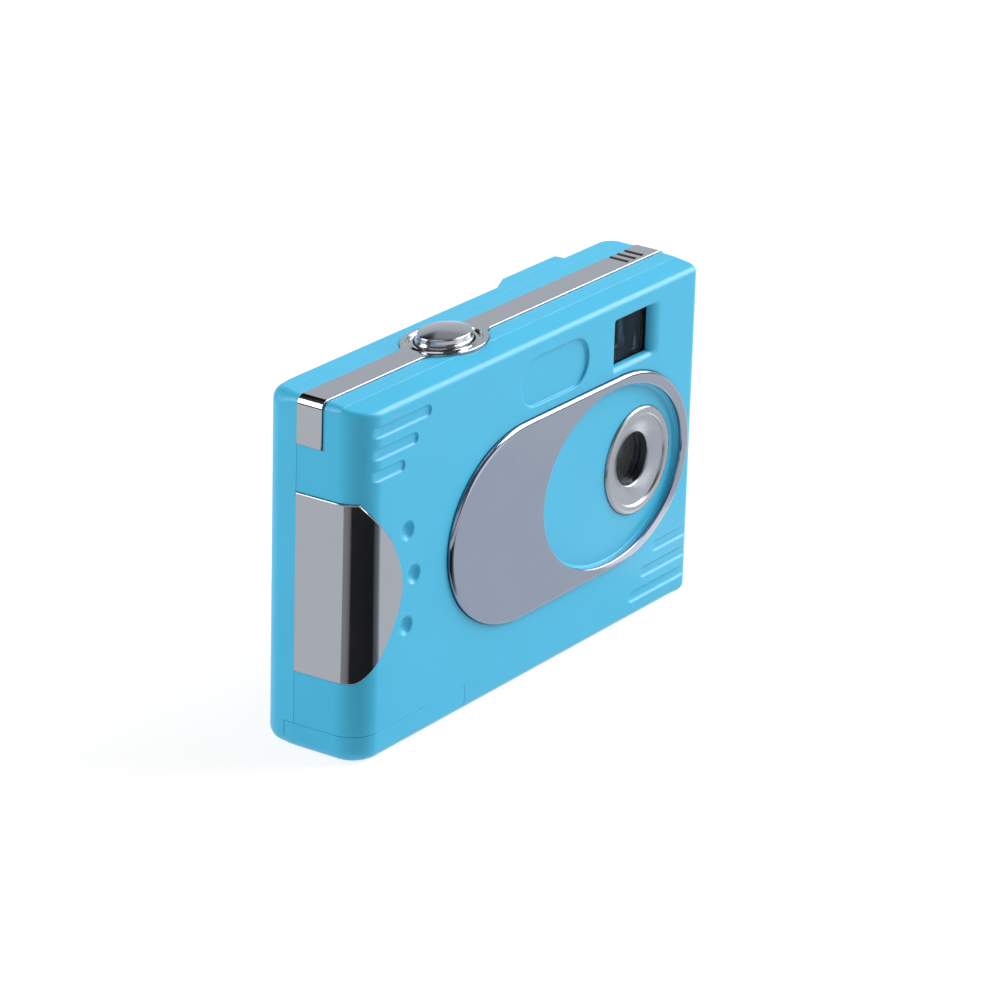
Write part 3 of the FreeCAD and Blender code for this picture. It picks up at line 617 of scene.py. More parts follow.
def swept(solid, loop, normals, prof, axis, sign=1.0, first=None, turn=1.0):
    """Rows of vertices along a closed 2-D loop.  prof = (offset along the loop's normal, level along
    axis).  axis 1: the loop is in X, Z; axis 2: in X, Y; axis 0: in Y, Z."""
    pn = profile_normals(prof) * turn
    others = [k for k in range(3) if k != axis]
    rows = []
    for k, ((off, lev), (no, nl)) in enumerate(zip(prof, pn)):
        if k == 0 and first is not None:
            rows.append(first)
            continue
        p = np.zeros((len(loop), 3))
        p[:, others] = loop + normals * off
        p[:, axis] = lev
        q = np.zeros_like(p)
        q[:, others] = normals * no
        q[:, axis] = nl
        rows.append(solid.add(p, q))
    return rows


# ------------------------------------------------------------------ forms shared by the pieces
LIP = 0.1
CH_Y, CH_Z = 7.44, 50.75          # front edge of the strip's channel, lower end of its legs
BTN = (34.0, 9.7)
LENS = (75.5, 28.05)
FRONT = Path([(0, SEAM), (0.45, 0), (91.8, 0), (92, SEAM)], [0, 5.0, 2.0, 0], 1)
REAR = Path([(0, SEAM), (0.15, 18.4), (91.85, 18.4), (92, SEAM)], [0, 3.2, 3.0, 0], -1)


def smin(a, b, k):
    return -smax(-a, -b, k)


def ease(t):
    t = np.clip(t, 0.0, 1.0)
    return t * t * (3 - 2 * t)


def roof(y):
    """height of the covers' top, four slopes with soft creases between them"""
    y = np.asarray(y, float)
    z = smin(57.3 + y * 0.85 / 4.2, 58.15 + (y - 4.2) * 0.2 / 7.98, 0.035)
    z = smin(z, 58.35 - (y - SEAM) * 0.15 / 6.22, 0.01)
    z = z - 0.06 * ease((4.26 - y) / 0.12)
    return z - 0.06 * ease((y - SEAM) / 0.3) + 0.06 * ease((y - 14.94) / 0.12)


def flare(line_y, up):
    """edge of the strip in plan: straight at line_y, with a flared bulge round the button"""
    a, b, r = 8.3, 6.1, 4.0
    target = line_y + (-r if not up else r)
    t = np.linspace(0.02, math.pi / 2, 4000) * (1 if up else -1)
    e = np.stack([BTN[0] + a * np.cos(t), BTN[1] + b * np.sin(t)], 1)
    n = np.stack([np.cos(t) / a, np.sin(t) / b], 1)
    n /= np.linalg.norm(n, axis=1, keepdims=True)
    c = e + r * n
    k = int(np.argmin(np.abs(c[:, 1] - target)))
    c, e = c[k], e[k]
    a0 = -math.pi / 2 if up else math.pi / 2
    a1 = math.atan2(e[1] - c[1], e[0] - c[0])
    d = (a1 - a0 + math.pi) % (2 * math.pi) - math.pi
    arc = [(c[0] + r * math.cos(a0 + d * i / 14), c[1] + r * math.sin(a0 + d * i / 14)) for i in range(15)]
    t1 = math.atan2((e[1] - BTN[1]) / b, (e[0] - BTN[0]) / a)
    t2 = math.pi / 2 if up else -math.pi / 2
    top = [(BTN[0] + a * math.cos(t1 + (t2 - t1) * i / 26), BTN[1] + b * math.sin(t1 + (t2 - t1) * i / 26)) for i in range(1, 27)]
    right = arc + top
    left = [(2 * BTN[0] - x, y) for x, y in right[:-1]]
    pts = left + right[::-1]
    return np.array(sorted(pts))


EDGE_F, EDGE_R = flare(CH_Y, False), flare(SEAM, True)


def edge_y(x, table):
    line = CH_Y if table is EDGE_F else SEAM
    return np.interp(x, table[:, 0], table[:, 1], left=line, right=line)


def edge_d(x, y, table):
    """signed distance past the strip's edge, positive towards the strip"""
    e = 0.02
    s = (edge_y(x + e, table) - edge_y(x - e, table)) / (2 * e)
    d = (y - edge_y(x, table)) / np.sqrt(1 + s * s)
    return d if table is EDGE_F else -d


def ellipse_d(x, y, a, b):
    """signed distance, positive inside, of the ellipse round the button (near its edge)"""
    dx, dy = x - BTN[0], y - BTN[1]
    f = np.sqrt((dx / a) ** 2 + (dy / b) ** 2)
    g = np.sqrt((dx / a ** 2) ** 2 + (dy / b ** 2) ** 2) / np.maximum(f, 1e-6)
    return (1 - f) / np.maximum(g, 1e-6)


def lift(fn, flip=1.0, eps=1e-3):
    """surface with normals from a point function of two parameters"""

    def s(q):
        q = np.asarray(q, float)
        a, b = np.array([eps, 0]), np.array([0, eps])
        du, dv = fn(q + a) - fn(q - a), fn(q + b) - fn(q - b)
        n = np.cross(du, dv) * flip
        return fn(q), n / np.maximum(np.linalg.norm(n, axis=1, keepdims=True), 1e-15)

    return s


def grid_normals(rows, closed, sign=1.0):
    r = np.asarray(rows, float)
    if closed:
        along = np.roll(r, -1, 1) - r
        seg = np.cross(along[:-1] + along[1:], r[1:] - r[:-1])
        seg2 = np.cross(along[:-1] + along[1:], np.roll(r, -1, 1)[1:] - np.roll(r, -1, 1)[:-1])
        seg = seg + seg2
        n = np.zeros_like(r)
        n[:-1] += seg
        n[1:] += seg
        n = n + np.roll(n, 1, 1)
    else:
        along = r[:, 1:] - r[:, :-1]
        seg = np.cross(along[:-1] + along[1:], (r[1:, 1:] - r[:-1, 1:]) + (r[1:, :-1] - r[:-1, :-1]))
        n = np.zeros_like(r)
        for a in (slice(0, -1), slice(1, None)):
            for b in (slice(0, -1), slice(1, None)):
                n[a, b] += seg
    return sign * n / np.maximum(np.linalg.norm(n, axis=2, keepdims=True), 1e-15)


def grid_rows(solid, rows, closed, sign=1.0, first=None):
    n = grid_normals(rows, closed, sign)
    out = []
    for k, (r, m) in enumerate(zip(rows, n)):
        out.append(first if (k == 0 and first is not None) else solid.add(r, m))
    solid.loft(out, closed)
    return out


def box_wall(solid, line, others, a, b, normals, axis=1):
    """flat strips along a polyline in the two other axes, between levels a and b of axis"""
    for p, q, n in zip(line, line[1:], normals):
        c = []
        for pt, lev in ((p, a), (q, a), (q, b), (p, b)):
            v = [0.0, 0.0, 0.0]
            v[others[0]], v[others[1]], v[axis] = pt[0], pt[1], lev
            c.append(v)
        solid.f.append(tuple(solid.add(c, n)))


def spaced(a, b, step):
    m = max(1, int(math.ceil(abs(b - a) / step - 1e-9)))
    return [a + (b - a) * i / m for i in range(m + 1)]


# outline of the side grip in X, Z, seen from the front, from the upper seam end to the lower one
D_LINE = [(-3.0, 42.95), (1.7, 42.95), (5.3, 38.7), (6.55, 37.3), (7.6, 36.0), (8.5, 34.55), (9.3, 33.0), (9.95, 31.5), (10.4, 30.2),
          (10.72, 28.9), (10.85, 27.8), (10.8, 26.5), (10.5, 25.2), (10.08, 23.8), (9.5, 22.6), (8.82, 21.3), (8.0, 20.1),
          (7.15, 18.95), (6.2, 17.9), (5.1, 16.7), (3.9, 15.6), (2.9, 14.72), (2.2, 14.13), (1.8, 13.8), (1.55, 13.64), (1.2, 13.55), (0.3, 13.5), (-3.0, 13.46)]


def d_curve():
    """the same outline in the wall's own coordinates (arc length round the case, height), finely spaced"""
    p = np.array(D_LINE)
    # the case outline gives arc length for each X; X under the side plane continue along it
    xs = np.array([x for x, z in p])
    u = np.where(xs <= 0.46, 0.0, FRONT.at_x(np.maximum(xs, 0.46)))
    # on the side plane the X of the outline changes slowly: both ends run straight back to the seam
    pts = []
    q = np.stack([u, p[:, 1]], 1)
    for a, b in zip(q, q[1:]):
        m = max(1, int(np.linalg.norm(b - a) / 0.5))
        for i in range(m):
            pts.append(a + (b - a) * i / m)
    pts.append(q[-1])
    pts = np.array(pts)
    keep = [0]
    for i in range(1, len(pts)):
        if np.linalg.norm(pts[i] - pts[keep[-1]]) > 0.05:
            keep.append(i)
    return pts[keep]


DC = d_curve()


def d_dist(u, z):
    """signed distance to the grip's outline in the wall's coordinates, positive inside"""
    q = np.stack([np.ravel(u), np.ravel(z)], 1)
    best = np.full(len(q), 1e9)
    near = (q[:, 0] < 22) & (q[:, 1] > 11) & (q[:, 1] < 45.5)
    if near.any():
        p = q[near]
        d = np.full(len(p), 1e9)
        for a, b in zip(DC, DC[1:]):
            ab = b - a
            t = np.clip(((p - a) @ ab) / (ab @ ab), 0, 1)
            d = np.minimum(d, np.linalg.norm(p - a - t[:, None] * ab, axis=1))
        poly = np.vstack([[(-5, DC[0][1])], DC, [(-5, DC[-1][1])]])
        ins = within(p, [poly])
        best[near] = np.where(ins, d, -d)
        best[~near] = -9
    else:
        best[:] = -9
    return best.reshape(np.shape(u))


GROOVES = [(-6.0, 16.7, 54.05), (-6.0, 13.4, 50.55), (-6.0, 10.2, 47.05),
           (81.6, 99.0, 11.15), (78.2, 99.0, 7.55), (75.0, 99.0, 4.05)]
DIMPLES = [(12.1, 35.9), (13.9, 28.2), (12.1, 20.2)]


def cut_y(x, z):
    """how deep grooves and dimples reach behind the front plane"""
    g = np.full(np.shape(x), -1.0)
    for a, b, zc in GROOVES:
        s2 = (z - zc) ** 2 + np.where(x < a, (x - a) ** 2, np.where(x > b, (x - b) ** 2, 0))
        g = np.maximum(g, (0.34 if a < 0 else 0.40) * (1 - (s2 / 0.95 ** 2) ** (3.5 if a < 0 else 1.7)))
    for cx, cz in DIMPLES:
        s2 = (x - cx) ** 2 + (z - cz) ** 2
        g = np.maximum(g, -1.2 + np.sqrt(np.maximum(4 - s2, 0)))
    return g


U_CL, U_CR = float(FRONT.at_y(CH_Y)), float(FRONT.at_y(CH_Y, False))


def front_wall(q):
    u, z = q[:, 0], q[:, 1]
    xy, n = FRONT(u)
    dn = steep(d_dist(u, z), 0.65, 0.1, 0.03)
    leg = np.maximum(np.minimum(U_CL - u, z - CH_Z), np.minimum(u - U_CR, z - CH_Z))
    dn = np.maximum(dn, steep(leg, 0.85, 0.08, 0.03))
    p = xy - n * dn[:, None]
    y = smax(p[:, 1], cut_y(p[:, 0], z), 0.2)
    return np.stack([p[:, 0], y, z], 1)


def top_r(u, path):
    """radius of the upper edge, along the outline"""
    k = path.knots
    if path is FRONT:
        return np.interp(u, [0, k[1] - 1.2, k[1] + 1.6, k[2] - 2.0, k[2] + 2.0, k[3], k[4], k[4] + 2, k[5]],
                         [1.5, 1.5, 0.7, 0.7, 0.95, 0.95, 1.1, 1.5, 1.5])
    return np.interp(u, [0, 1.2, k[1] + 0.5, k[2], k[2] + 1.5, k[3], k[4], k[5]], [1.5, 1.6, 2.5, 1.3, 0.85, 0.85, 1.4, 1.5])


def low_r(u, path):
    k = path.knots
    if path is FRONT:
        return np.interp(u, [0, k[1], k[2], k[3] - 1, k[3], k[4], k[5]], [2.5, 2.4, 2.0, 2.0, 1.7, 1.6, 1.6])
    return np.interp(u, [0, k[1], k[2], k[3], k[4], k[5]], [2.5, 2.4, 2.2, 2.2, 1.8, 1.6])


def edge_band(path, top):
    """point function of (arc length, 0..1) for the rounded edge between wall and top or underside"""

    def plain(q):
        u, t = q[:, 0], q[:, 1]
        xy, n = path(u)
        r = top_r(u, path) if top else low_r(u, path)
        inn = xy - n * r[:, None]
        if top:
            zc, zq = roof(xy[:, 1]), roof(inn[:, 1])
        else:
            zc, zq = np.zeros(len(u)), np.zeros(len(u))
        w0 = np.column_stack([xy, zc - r if top else zc + r])
        c = np.column_stack([xy, zc])
        w1 = np.column_stack([inn, zq])
        a, b, d = (1 - t) ** 2, 2 * 0.7071 * t * (1 - t), t ** 2
        return (a[:, None] * w0 + b[:, None] * c + d[:, None] * w1) / (a + b + d)[:, None]

    flip = path.side * (1.0 if top else -1.0)
    if not top:
        return plain, flip

    def cut(q):
        p, n = lift(plain, flip)(q)
        if path is FRONT:
            leg = np.maximum(U_CL - q[:, 0], q[:, 0] - U_CR)
            return p - n * steep(leg, 0.85, 0.08, 0.03)[:, None]
        return p

    return cut, flip


def front_top(q):
    x, y = q[:, 0], q[:, 1]
    z = roof(y) - steep(edge_d(x, y, EDGE_F), 0.85, 0.08, 0.03)
    z = z - steep(ellipse_d(x, y, 5.95, 4.6), 0.6, 0.05, 0.03)
    return np.stack([x, y, z], 1)


def rear_top(q):
    x, y = q[:, 0], q[:, 1]
    z = roof(y) - steep(edge_d(x, y, EDGE_R), 0.85, 0.08, 0.03)
    z = z - steep(ellipse_d(x, y, 5.95, 4.6), 0.6, 0.05, 0.03)
    return np.stack([x, y, z], 1)


def cover_skin(path, wall, top, wall_lines, wall_dots, wall_holes, top_lines, top_dots, rear_x, cols, seam_z):
    """Outer skin of one cover with its rounded edges, its lip along the seam and the door's place,
    and the flat faces behind them.  Returns the solid."""
    s = Solid()
    front = path is FRONT
    out_y = 1.0 if front else -1.0
    ys = SEAM - out_y * LIP
    door_u = float(path.at_x(28.1 + LIP))
    u0, u1 = LIP, path.length - LIP
    W = lift(wall, path.side)
    cols = sorted(set([round(c, 5) for c in cols if u0 < c < u1] + [u0, u1]))
    ztop = lambda u: roof(path(np.array([u]))[0][0, 1]) - top_r(np.array([u]), path)[0]
    zlow = lambda u: float(low_r(np.array([u]), path)[0])
    zd = 4.66 + LIP
    # wall border, from the lower left, upwards, along the top and back
    zl = sorted(set([z for z in seam_z[0] if zd + 0.05 < z < ztop(u0) - 0.05]))
    zr = sorted(set([z for z in seam_z[1] if zlow(u1) + 0.05 < z < ztop(u1) - 0.05]))
    left = [(u0, z) for z in [zd] + zl]
    upper = [(u, ztop(u)) for u in cols]
    right = [(u1, z) for z in zr[::-1]]
    low_cols = [u for u in cols if u > door_u + 0.05][::-1] + [door_u]
    lower = [(u, zlow(u)) for u in low_cols]
    door_v = [(door_u, z) for z in spaced(zlow(door_u), zd, 0.6)[1:-1]]
    door_h = [(u, zd) for u in [door_u] + [c for c in cols if u0 + 0.05 < c < door_u - 0.05][::-1]]
    parts = [left, upper, right, lower, door_v, door_h]
    border = np.array([p for q in parts for p in q])
    P, N = W(border)
    idx = s.add(P, N)
    cut, at = [], 0
    for q in parts:
        cut.append(idx[at:at + len(q)])
        at += len(q)
    i_left, i_up, i_right, i_low, i_dv, i_dh = cut
    loops = [(border, idx)] + [(q, i) for q, i in wall_holes(s, W)]
    for q, ring in loops[1:]:
        for i, m in zip(ring, W(np.asarray(q, float))[1]):
            s.n[i] = (m / np.linalg.norm(m)).tolist()
    sheet(s, W, loops, wall_lines, wall_dots)
    # upper edge
    fn, flip = edge_band(path, True)
    S = lift(fn, flip)
    rows = [i_up]
    ts = np.linspace(0, 1, 8)
    for t in ts[1:]:
        p, n = S(np.array([(u, t) for u in cols]))
        rows.append(s.add(p, n))
    s.loft(rows)
    # lower edge
    fn, flip = edge_band(path, False)
    S2 = lift(fn, flip)
    lrows = [i_low]
    for t in ts[1:]:
        p, n = S2(np.array([(u, t) for u in low_cols]))
        lrows.append(s.add(p, n))
    s.loft(lrows)
    # top
    q = rows[-1]
    pq = s.at(q)[:, :2]
    rx = sorted(x for x in rear_x if pq[0, 0] + 0.3 < x < pq[-1, 0] - 0.3)
    T = lift(top, 1.0)
    p, n = T(np.array([(x, ys) for x in rx]))
    i_rear = s.add(p, n)
    loop = np.concatenate([q, i_rear[::-1]])
    tl = [(s.at(loop)[:, :2], loop)]
    if front:
        th = np.linspace(0, 2 * math.pi, 28, endpoint=False)
        bq = np.column_stack([BTN[0] + 1.25 * np.cos(th), BTN[1] + 1.25 * np.sin(th)])
        pb, nb = T(bq)
        b0 = s.add(pb, nb)
        tl.append((bq, b0))
        inn = np.column_stack([-np.cos(th), -np.sin(th), 0 * th])
        s.loft([s.add(pb, inn), s.add(np.column_stack([bq, np.full(28, 55.0)]), inn)], True)
    sheet(s, T, tl, top_lines, top_dots)
    # underside
    lq = lrows[-1]
    p = s.at(lq)
    xs = spaced(p[0, 0], 28.1 + LIP, 4.0)[1:]
    i_brear = s.add([(x, ys, 0.0) for x in xs], (0, 0, -1))
    yy = spaced(ys, p[-1, 1], 2.0)[1:-1]
    i_bleft = s.add([(28.1 + LIP, y, 0.0) for y in yy], (0, 0, -1))
    loop = np.concatenate([lq, i_bleft[::-1], i_brear[::-1]])
    sheet(s, lambda w: (np.column_stack([w, np.zeros(len(w))]), np.tile((0.0, 0.0, -1.0), (len(w), 1))),
          [(s.at(loop)[:, :2], loop)], [], None)
    # the whole border, once round, with the direction across it
    band_l = np.array([r[0] for r in rows[1:]])
    band_r = np.array([r[-1] for r in rows[1:]])
    low_r_ = np.array([r[0] for r in lrows[1:]])
    low_l_ = np.array([r[-1] for r in lrows[1:]])
    E = np.array([0, out_y, 0.0])
    X, Z = np.array([-1.0, 0, 0]), np.array([0, 0, -1.0])
    chain, outs = [], []

    def put(i, e):
        for k in np.atleast_1d(i):
            chain.append(int(k))
            outs.append(e)

    put(i_left[0], E + Z)
    put(i_left[1:], E)
    put(i_up[0], E)
    put(band_l, E)
    put(i_rear, E)
    put(band_r[::-1], E)
    put(i_up[-1], E)
    put(i_right, E)
    put(i_low[0], E)
    put(low_r_, E)
    put(i_brear[:-1], E)
    put(i_brear[-1], E + X)
    put(i_bleft, X)
    put(low_l_[::-1], X)
    put(i_low[-1], X)
    put(i_dv, X)
    put(i_dh[0], X + Z)
    put(i_dh[1:], Z)
    chain = np.array(chain)
    rows3 = s.lip(chain, np.array(outs), LIP)
    s.loft(rows3, closed=True)
    last = rows3[-1]
    n_seam = int(np.nonzero(chain == i_brear[-1])[0][0])
    n_corner = int(np.nonzero(chain == i_dh[0])[0][0])
    seam_part = last[:n_seam + 1]
    rib_part = last[n_seam:n_corner + 1]
    door_part = np.concatenate([last[n_corner:], last[:1]])
    # cavity
    yi = 2.0 if front else 16.4
    ring = [(2.0, 4.66), (2.0, 55.0), (90.0, 55.0), (90.0, 2.0), (29.5, 2.0), (29.5, 5.6), (28.1, 5.6), (28.1, 4.66)]
    r1 = s.add([(x, SEAM, z) for x, z in ring], E)
    up_rib = s.add([(28.1, SEAM, 5.6)], E)
    s.flat([np.concatenate([seam_part, up_rib, r1[5:6], r1[4:5], r1[3:4], r1[2:3], r1[1:2], r1[0:1]])], E, (0, 2))
    r2 = s.add([(28.1, SEAM, 5.6), (28.1, yi, 5.6), (28.1, yi, 4.66)], X)
    s.flat([np.concatenate([rib_part, r2[::-1]])], X, (1, 2))
    r3 = s.add([(2.0, SEAM, 4.66), (2.0, yi, 4.66), (28.1, yi, 4.66)], Z)
    s.flat([np.concatenate([door_part, r3])], Z, (0, 1))
    nin = [(1, 0, 0), (0, 0, -1), (-1, 0, 0), (0, 0, 1), (1, 0, 0), (0, 0, 1), (-1, 0, 0)]
    plain = [0, 3, 4, 5] if front else list(range(6))
    for kk in plain:
        box_wall(s, ring[kk:kk + 2], (0, 2), SEAM, yi, nin[kk:kk + 1])
    if front:
        c4 = s.add([(2.0, SEAM, 55.0), (90.0, SEAM, 55.0), (90.0, yi, 55.0), (2.0, yi, 55.0)], (0, 0, -1))
        th = np.linspace(0, 2 * math.pi, 28, endpoint=False)
        bore = s.add(np.column_stack([BTN[0] + 1.25 * np.cos(th), BTN[1] + 1.25 * np.sin(th), np.full(28, 55.0)]), (0, 0, -1))
        s.flat([c4, bore], (0, 0, -1), (0, 1))
        c5 = s.add([(90.0, SEAM, 55.0), (90.0, SEAM, 2.0), (90.0, yi, 2.0), (90.0, yi, 55.0)], (-1, 0, 0))
        h5 = s.add([(90.0, y, z) for y, z in ((5.05, 39.2), (8.95, 39.2), (8.95, 46.8), (5.05, 46.8))], (-1, 0, 0))
        s.flat([c5, h5], (-1, 0, 0), (1, 2))
    inner = s.add([(x, yi, z) for x, z in ring], E)
    return s, inner, E, yi


def groove_lines():
    lines = []
    for a, b, zc in GROOVES:
        left = a < 0
        for off in (0.0, 0.28, 0.5, 0.66, 0.77, 0.85, 0.91, 0.96, 1.01, 1.08, 1.18, 1.3):
            end = b if left else a
            ue = float(FRONT.at_x(end))
            run = float(FRONT.at_x(1.3)) if left else float(FRONT.at_y(1.3, False))
            us = sorted(set(spaced(run, ue, 0.55) + spaced(run, run + (2.4 if left else -2.4), 0.2)))
            us = [u for u in us if (u <= ue if left else u >= ue)]
            if not left:
                us = us[::-1]
            pts = [(u, zc + off) for u in us]
            if off > 0:
                for i in range(1, 12):
                    t = math.pi / 2 - math.pi * i / 12
                    pts.append((ue + (1 if left else -1) * off * math.cos(t), zc + off * math.sin(t)))
                pts += [(u, zc - off) for u in us[::-1]]
            else:
                pts[-1] = (ue, zc)
            lines.append((np.array(pts), False))
    return lines


def dimple_lines():
    lines = []
    for cx, cz in DIMPLES:
        u = float(FRONT.at_x(cx))
        for r in (0.35, 0.7, 1.0, 1.22, 1.38, 1.5, 1.6, 1.7, 1.82, 1.98):
            p, _ = ellipse(u, cz, r, r, 36)
            lines.append((p, True))
    return lines


def d_lines():
    p = DC
    t = np.gradient(p, axis=0)
    t /= np.linalg.norm(t, axis=1, keepdims=True)
    n = np.stack([t[:, 1], -t[:, 0]], 1)
    probe = p[len(p) // 2] + n[len(p) // 2] * 0.3
    if d_dist(np.array([probe[0]]), np.array([probe[1]]))[0] > 0:
        n = -n
    lines = []
    for d in steep_lines(0.65, 0.1, 0.03):
        q = p - n * d
        ok = np.abs(d_dist(q[:, 0], q[:, 1]) - d) < 0.012
        ok &= q[:, 0] > 0.16
        run = []
        for k in range(len(q)):
            if ok[k]:
                run.append(q[k])
            elif len(run) > 1:
                lines.append((np.array(run), False))
                run = []
            else:
                run = []
        if len(run) > 1:
            lines.append((np.array(run), False))
    return lines


def front_cover():
    k = FRONT.knots
    leg = steep_lines(0.85, 0.08, 0.03)
    cols = list(spaced(0.1, k[1], 1.0)) + list(spaced(k[1], k[2], 0.42)) + list(spaced(k[2], k[3], 2.5)) \
        + list(spaced(k[3], k[4], 0.35)) + list(spaced(k[4], k[5] - 0.1, 1.0)) \
        + [U_CL - d for d in leg] + [U_CR + d for d in leg] + [float(FRONT.at_x(28.1 + LIP))]
    cols = sorted(cols)
    slim = [cols[0]]
    special = [U_CL - d for d in leg] + [U_CR + d for d in leg] + [float(FRONT.at_x(28.1 + LIP))]
    for c in cols[1:]:
        near = min(abs(c - x) for x in special)
        if near < 1e-6 or (near > 0.12 and c - slim[-1] > 0.12):
            slim.append(c)
    cols = slim
    lines = groove_lines() + dimple_lines() + d_lines()
    for d in leg:
        zc = CH_Z + d
        lines.append((np.array([(u, zc) for u in spaced(0.12, U_CL - d, 0.8)]), False))
        lines.append((np.array([(U_CL - d, z) for z in spaced(zc, 56.6, 0.8)]), False))
        lines.append((np.array([(u, zc) for u in spaced(U_CR + d, FRONT.length - 0.12, 0.8)]), False))
        lines.append((np.array([(U_CR + d, z) for z in spaced(zc, 56.6, 0.8)]), False))
    # background points
    dots = []
    zs = spaced(2.6, 55.9, 1.3)
    us = [c for c in spaced(0.6, k[1], 1.2)] + [c for c in spaced(k[1], k[2], 0.42)] + [c for c in spaced(k[2], k[3], 3.2)][1:] \
        + [c for c in spaced(k[3], k[4], 0.35)] + [c for c in spaced(k[4] + 0.8, k[5] - 0.6, 1.2)]
    g = np.array([(u, z) for u in us for z in zs])
    x = FRONT(g[:, 0])[0][:, 0]
    bad = cut_y(x, g[:, 1]) > -0.75
    bad |= np.abs(d_dist(g[:, 0], g[:, 1]) - 0.0) < 0.35
    bad |= (np.abs(g[:, 1] - CH_Z) < 0.4) & ((g[:, 0] < U_CL + 0.4) | (g[:, 0] > U_CR - 0.4))
    bad |= (g[:, 1] > CH_Z - 0.4) & ((np.abs(g[:, 0] - U_CL) < 0.3) | (np.abs(g[:, 0] - U_CR) < 0.3))
    bad |= (g[:, 1] < 5.2) & (x < 28.9)
    dots = g[~bad]
    made = {}

    def holes(s, W):
        out = []
        # seat of the face plate
        p, n = oval(22.54, 89.36, 11.4, 44.66, 20.06, 72, 1.5)
        prof = [(0.08, 0.0), (0.04, 0.011), (0.011, 0.04), (0.0, 0.08), (0.0, 0.2)]
        rows = swept(s, p, n, prof, 1)
        s.loft(rows, True)
        made["seat"] = rows[-1]
        q = p + n * 0.08
        out.append((np.stack([FRONT.at_x(q[:, 0]), q[:, 1]], 1), rows[0]))
        # shallow blank place
        p, n = rounded(41.5, 60.0, 46.3, 54.5, 4.09, 1.5, 14)
        prof = [(0.28, 0.0), (0.14, 0.014), (0.05, 0.06), (0.0, 0.14), (-0.04, 0.34), (-0.1, 0.44), (-0.22, 0.49), (-0.36, 0.5)]
        rows = swept(s, p, n, prof, 1)
        s.loft(rows, True)
        s.flat([rows[-1]], (0, -1, 0), (0, 2))
        q = p + n * 0.28
        out.append((np.stack([FRONT.at_x(q[:, 0]), q[:, 1]], 1), rows[0]))
        # finder mouth
        p, n = rounded(67.4, 78.1, 46.2, 54.1, 0.3, 1.5, 6)
        soft = np.column_stack([n[:, 0] * np.where(n[:, 0] > 0, 2.3, 0.45), n[:, 1] * np.where(n[:, 1] > 0, 0.65, 1.25)])
        r = []
        for deg in (0, 8, 17, 28, 40, 52, 64, 76, 90):
            o, y = 1 - math.sin(math.radians(deg)), 1.38 * (1 - math.cos(math.radians(deg)))
            r.append(np.column_stack([p[:, 0] + soft[:, 0] * o, np.full(len(p), y), p[:, 1] + soft[:, 1] * o]))
        r.append(np.column_stack([p[:, 0], np.full(len(p), 1.4), p[:, 1]]))
        rows = grid_rows(s, r[:-1], True)
        glass = s.add(r[-1], (0, 1, 0))
        s.loft([rows[-1], glass], True)
        q = p + soft
        out.append((np.stack([FRONT.at_x(q[:, 0]), q[:, 1]], 1), rows[0]))
        seat = [(67.0, 45.8), (78.5, 45.8), (78.5, 54.5), (67.0, 54.5)]
        sl = s.add([(x, 1.4, z) for x, z in seat], (0, 1, 0))
        s.flat([sl, glass], (0, 1, 0), (0, 2))
        box_wall(s, seat + seat[:1], (0, 2), 1.4, 2.0, [(0, 0, 1), (-1, 0, 0), (0, 0, -1), (1, 0, 0)])
        made["finder"] = seat
        # place of the side cover
        ua, ub = float(FRONT.at_y(3.2, False)), float(FRONT.at_y(10.2, False))
        p, n = rounded(ua, ub, 35.85, 50.15, 0.4, 1.5, 5)
        r = []
        for o, d in ((0.1, 0.0), (0.05, 0.014), (0.014, 0.05), (0.0, 0.1), (0.0, 1.3), (-0.05, 1.35)):
            q = p + n * o
            xy, m = FRONT(q[:, 0])
            r.append(np.column_stack([xy - m * d, q[:, 1]]))
        rows = grid_rows(s, r, True)
        made["side"] = rows[-1]
        q = p + n * 0.1
        out.append((q, rows[0]))
        return out

    tops = []
    xs = spaced(1.7, 90.3, 2.2)
    for y in (3.75, 4.0, 4.12, 4.2, 4.28, 4.4, 4.65):
        tops.append((np.array([(x, y) for x in xs if not 24.8 < x < 43.2]), False))
    edge = EDGE_F[(EDGE_F[:, 0] > 20) & (EDGE_F[:, 0] < 48)]
    fine = [(x, CH_Y) for x in spaced(1.9, edge[0, 0], 2.0)[:-1]] + [tuple(e) for e in edge] \
        + [(x, CH_Y) for x in spaced(edge[-1, 0], 90.1, 2.0)[1:]]
    fine = np.array(fine)
    t = np.gradient(fine, axis=0)
    t /= np.linalg.norm(t, axis=1, keepdims=True)
    m = np.stack([-t[:, 1], t[:, 0]], 1)
    for d in leg:
        tops.append((fine + m * d, False))
    for d in steep_lines(0.6, 0.05, 0.03):
        p, _ = ellipse(BTN[0], BTN[1], 5.95 - d, 4.6 - d, 96)
        tops.append((p[p[:, 1] < SEAM - 0.25], False))
    dots2 = [(x, y) for x in spaced(3.5, 88.5, 3.0) for y in (2.2, 3.1, 5.6, 6.6)
             if not (24.0 < x < 44.0 and y > 2.5)]
    rear_x = spaced(2, 90, 2.2) + [BTN[0] + sgn * (5.09 + o) for sgn in (-1, 1) for o in (-0.16, -0.1, -0.05, 0, 0.05, 0.12)]
    zl = spaced(4.8, 56.8, 1.6)
    zl = [z for z in zl if min(abs(z - 42.95), abs(z - 13.48), abs(z - CH_Z)) > 0.35]
    seam_z = ([z for z in zl] + [42.95 + d for d in steep_lines(0.65, 0.1, 0.03)] + [13.48 - d for d in steep_lines(0.65, 0.1, 0.03)]
              + [CH_Z + d for d in leg],
              [z for z in spaced(2.2, 56.8, 1.6) if abs(z - CH_Z) > 0.35] + [CH_Z + d for d in leg])
    s, inner, E, yi = cover_skin(FRONT, front_wall, front_top, lines, dots, holes, tops, dots2, rear_x, cols, seam_z)
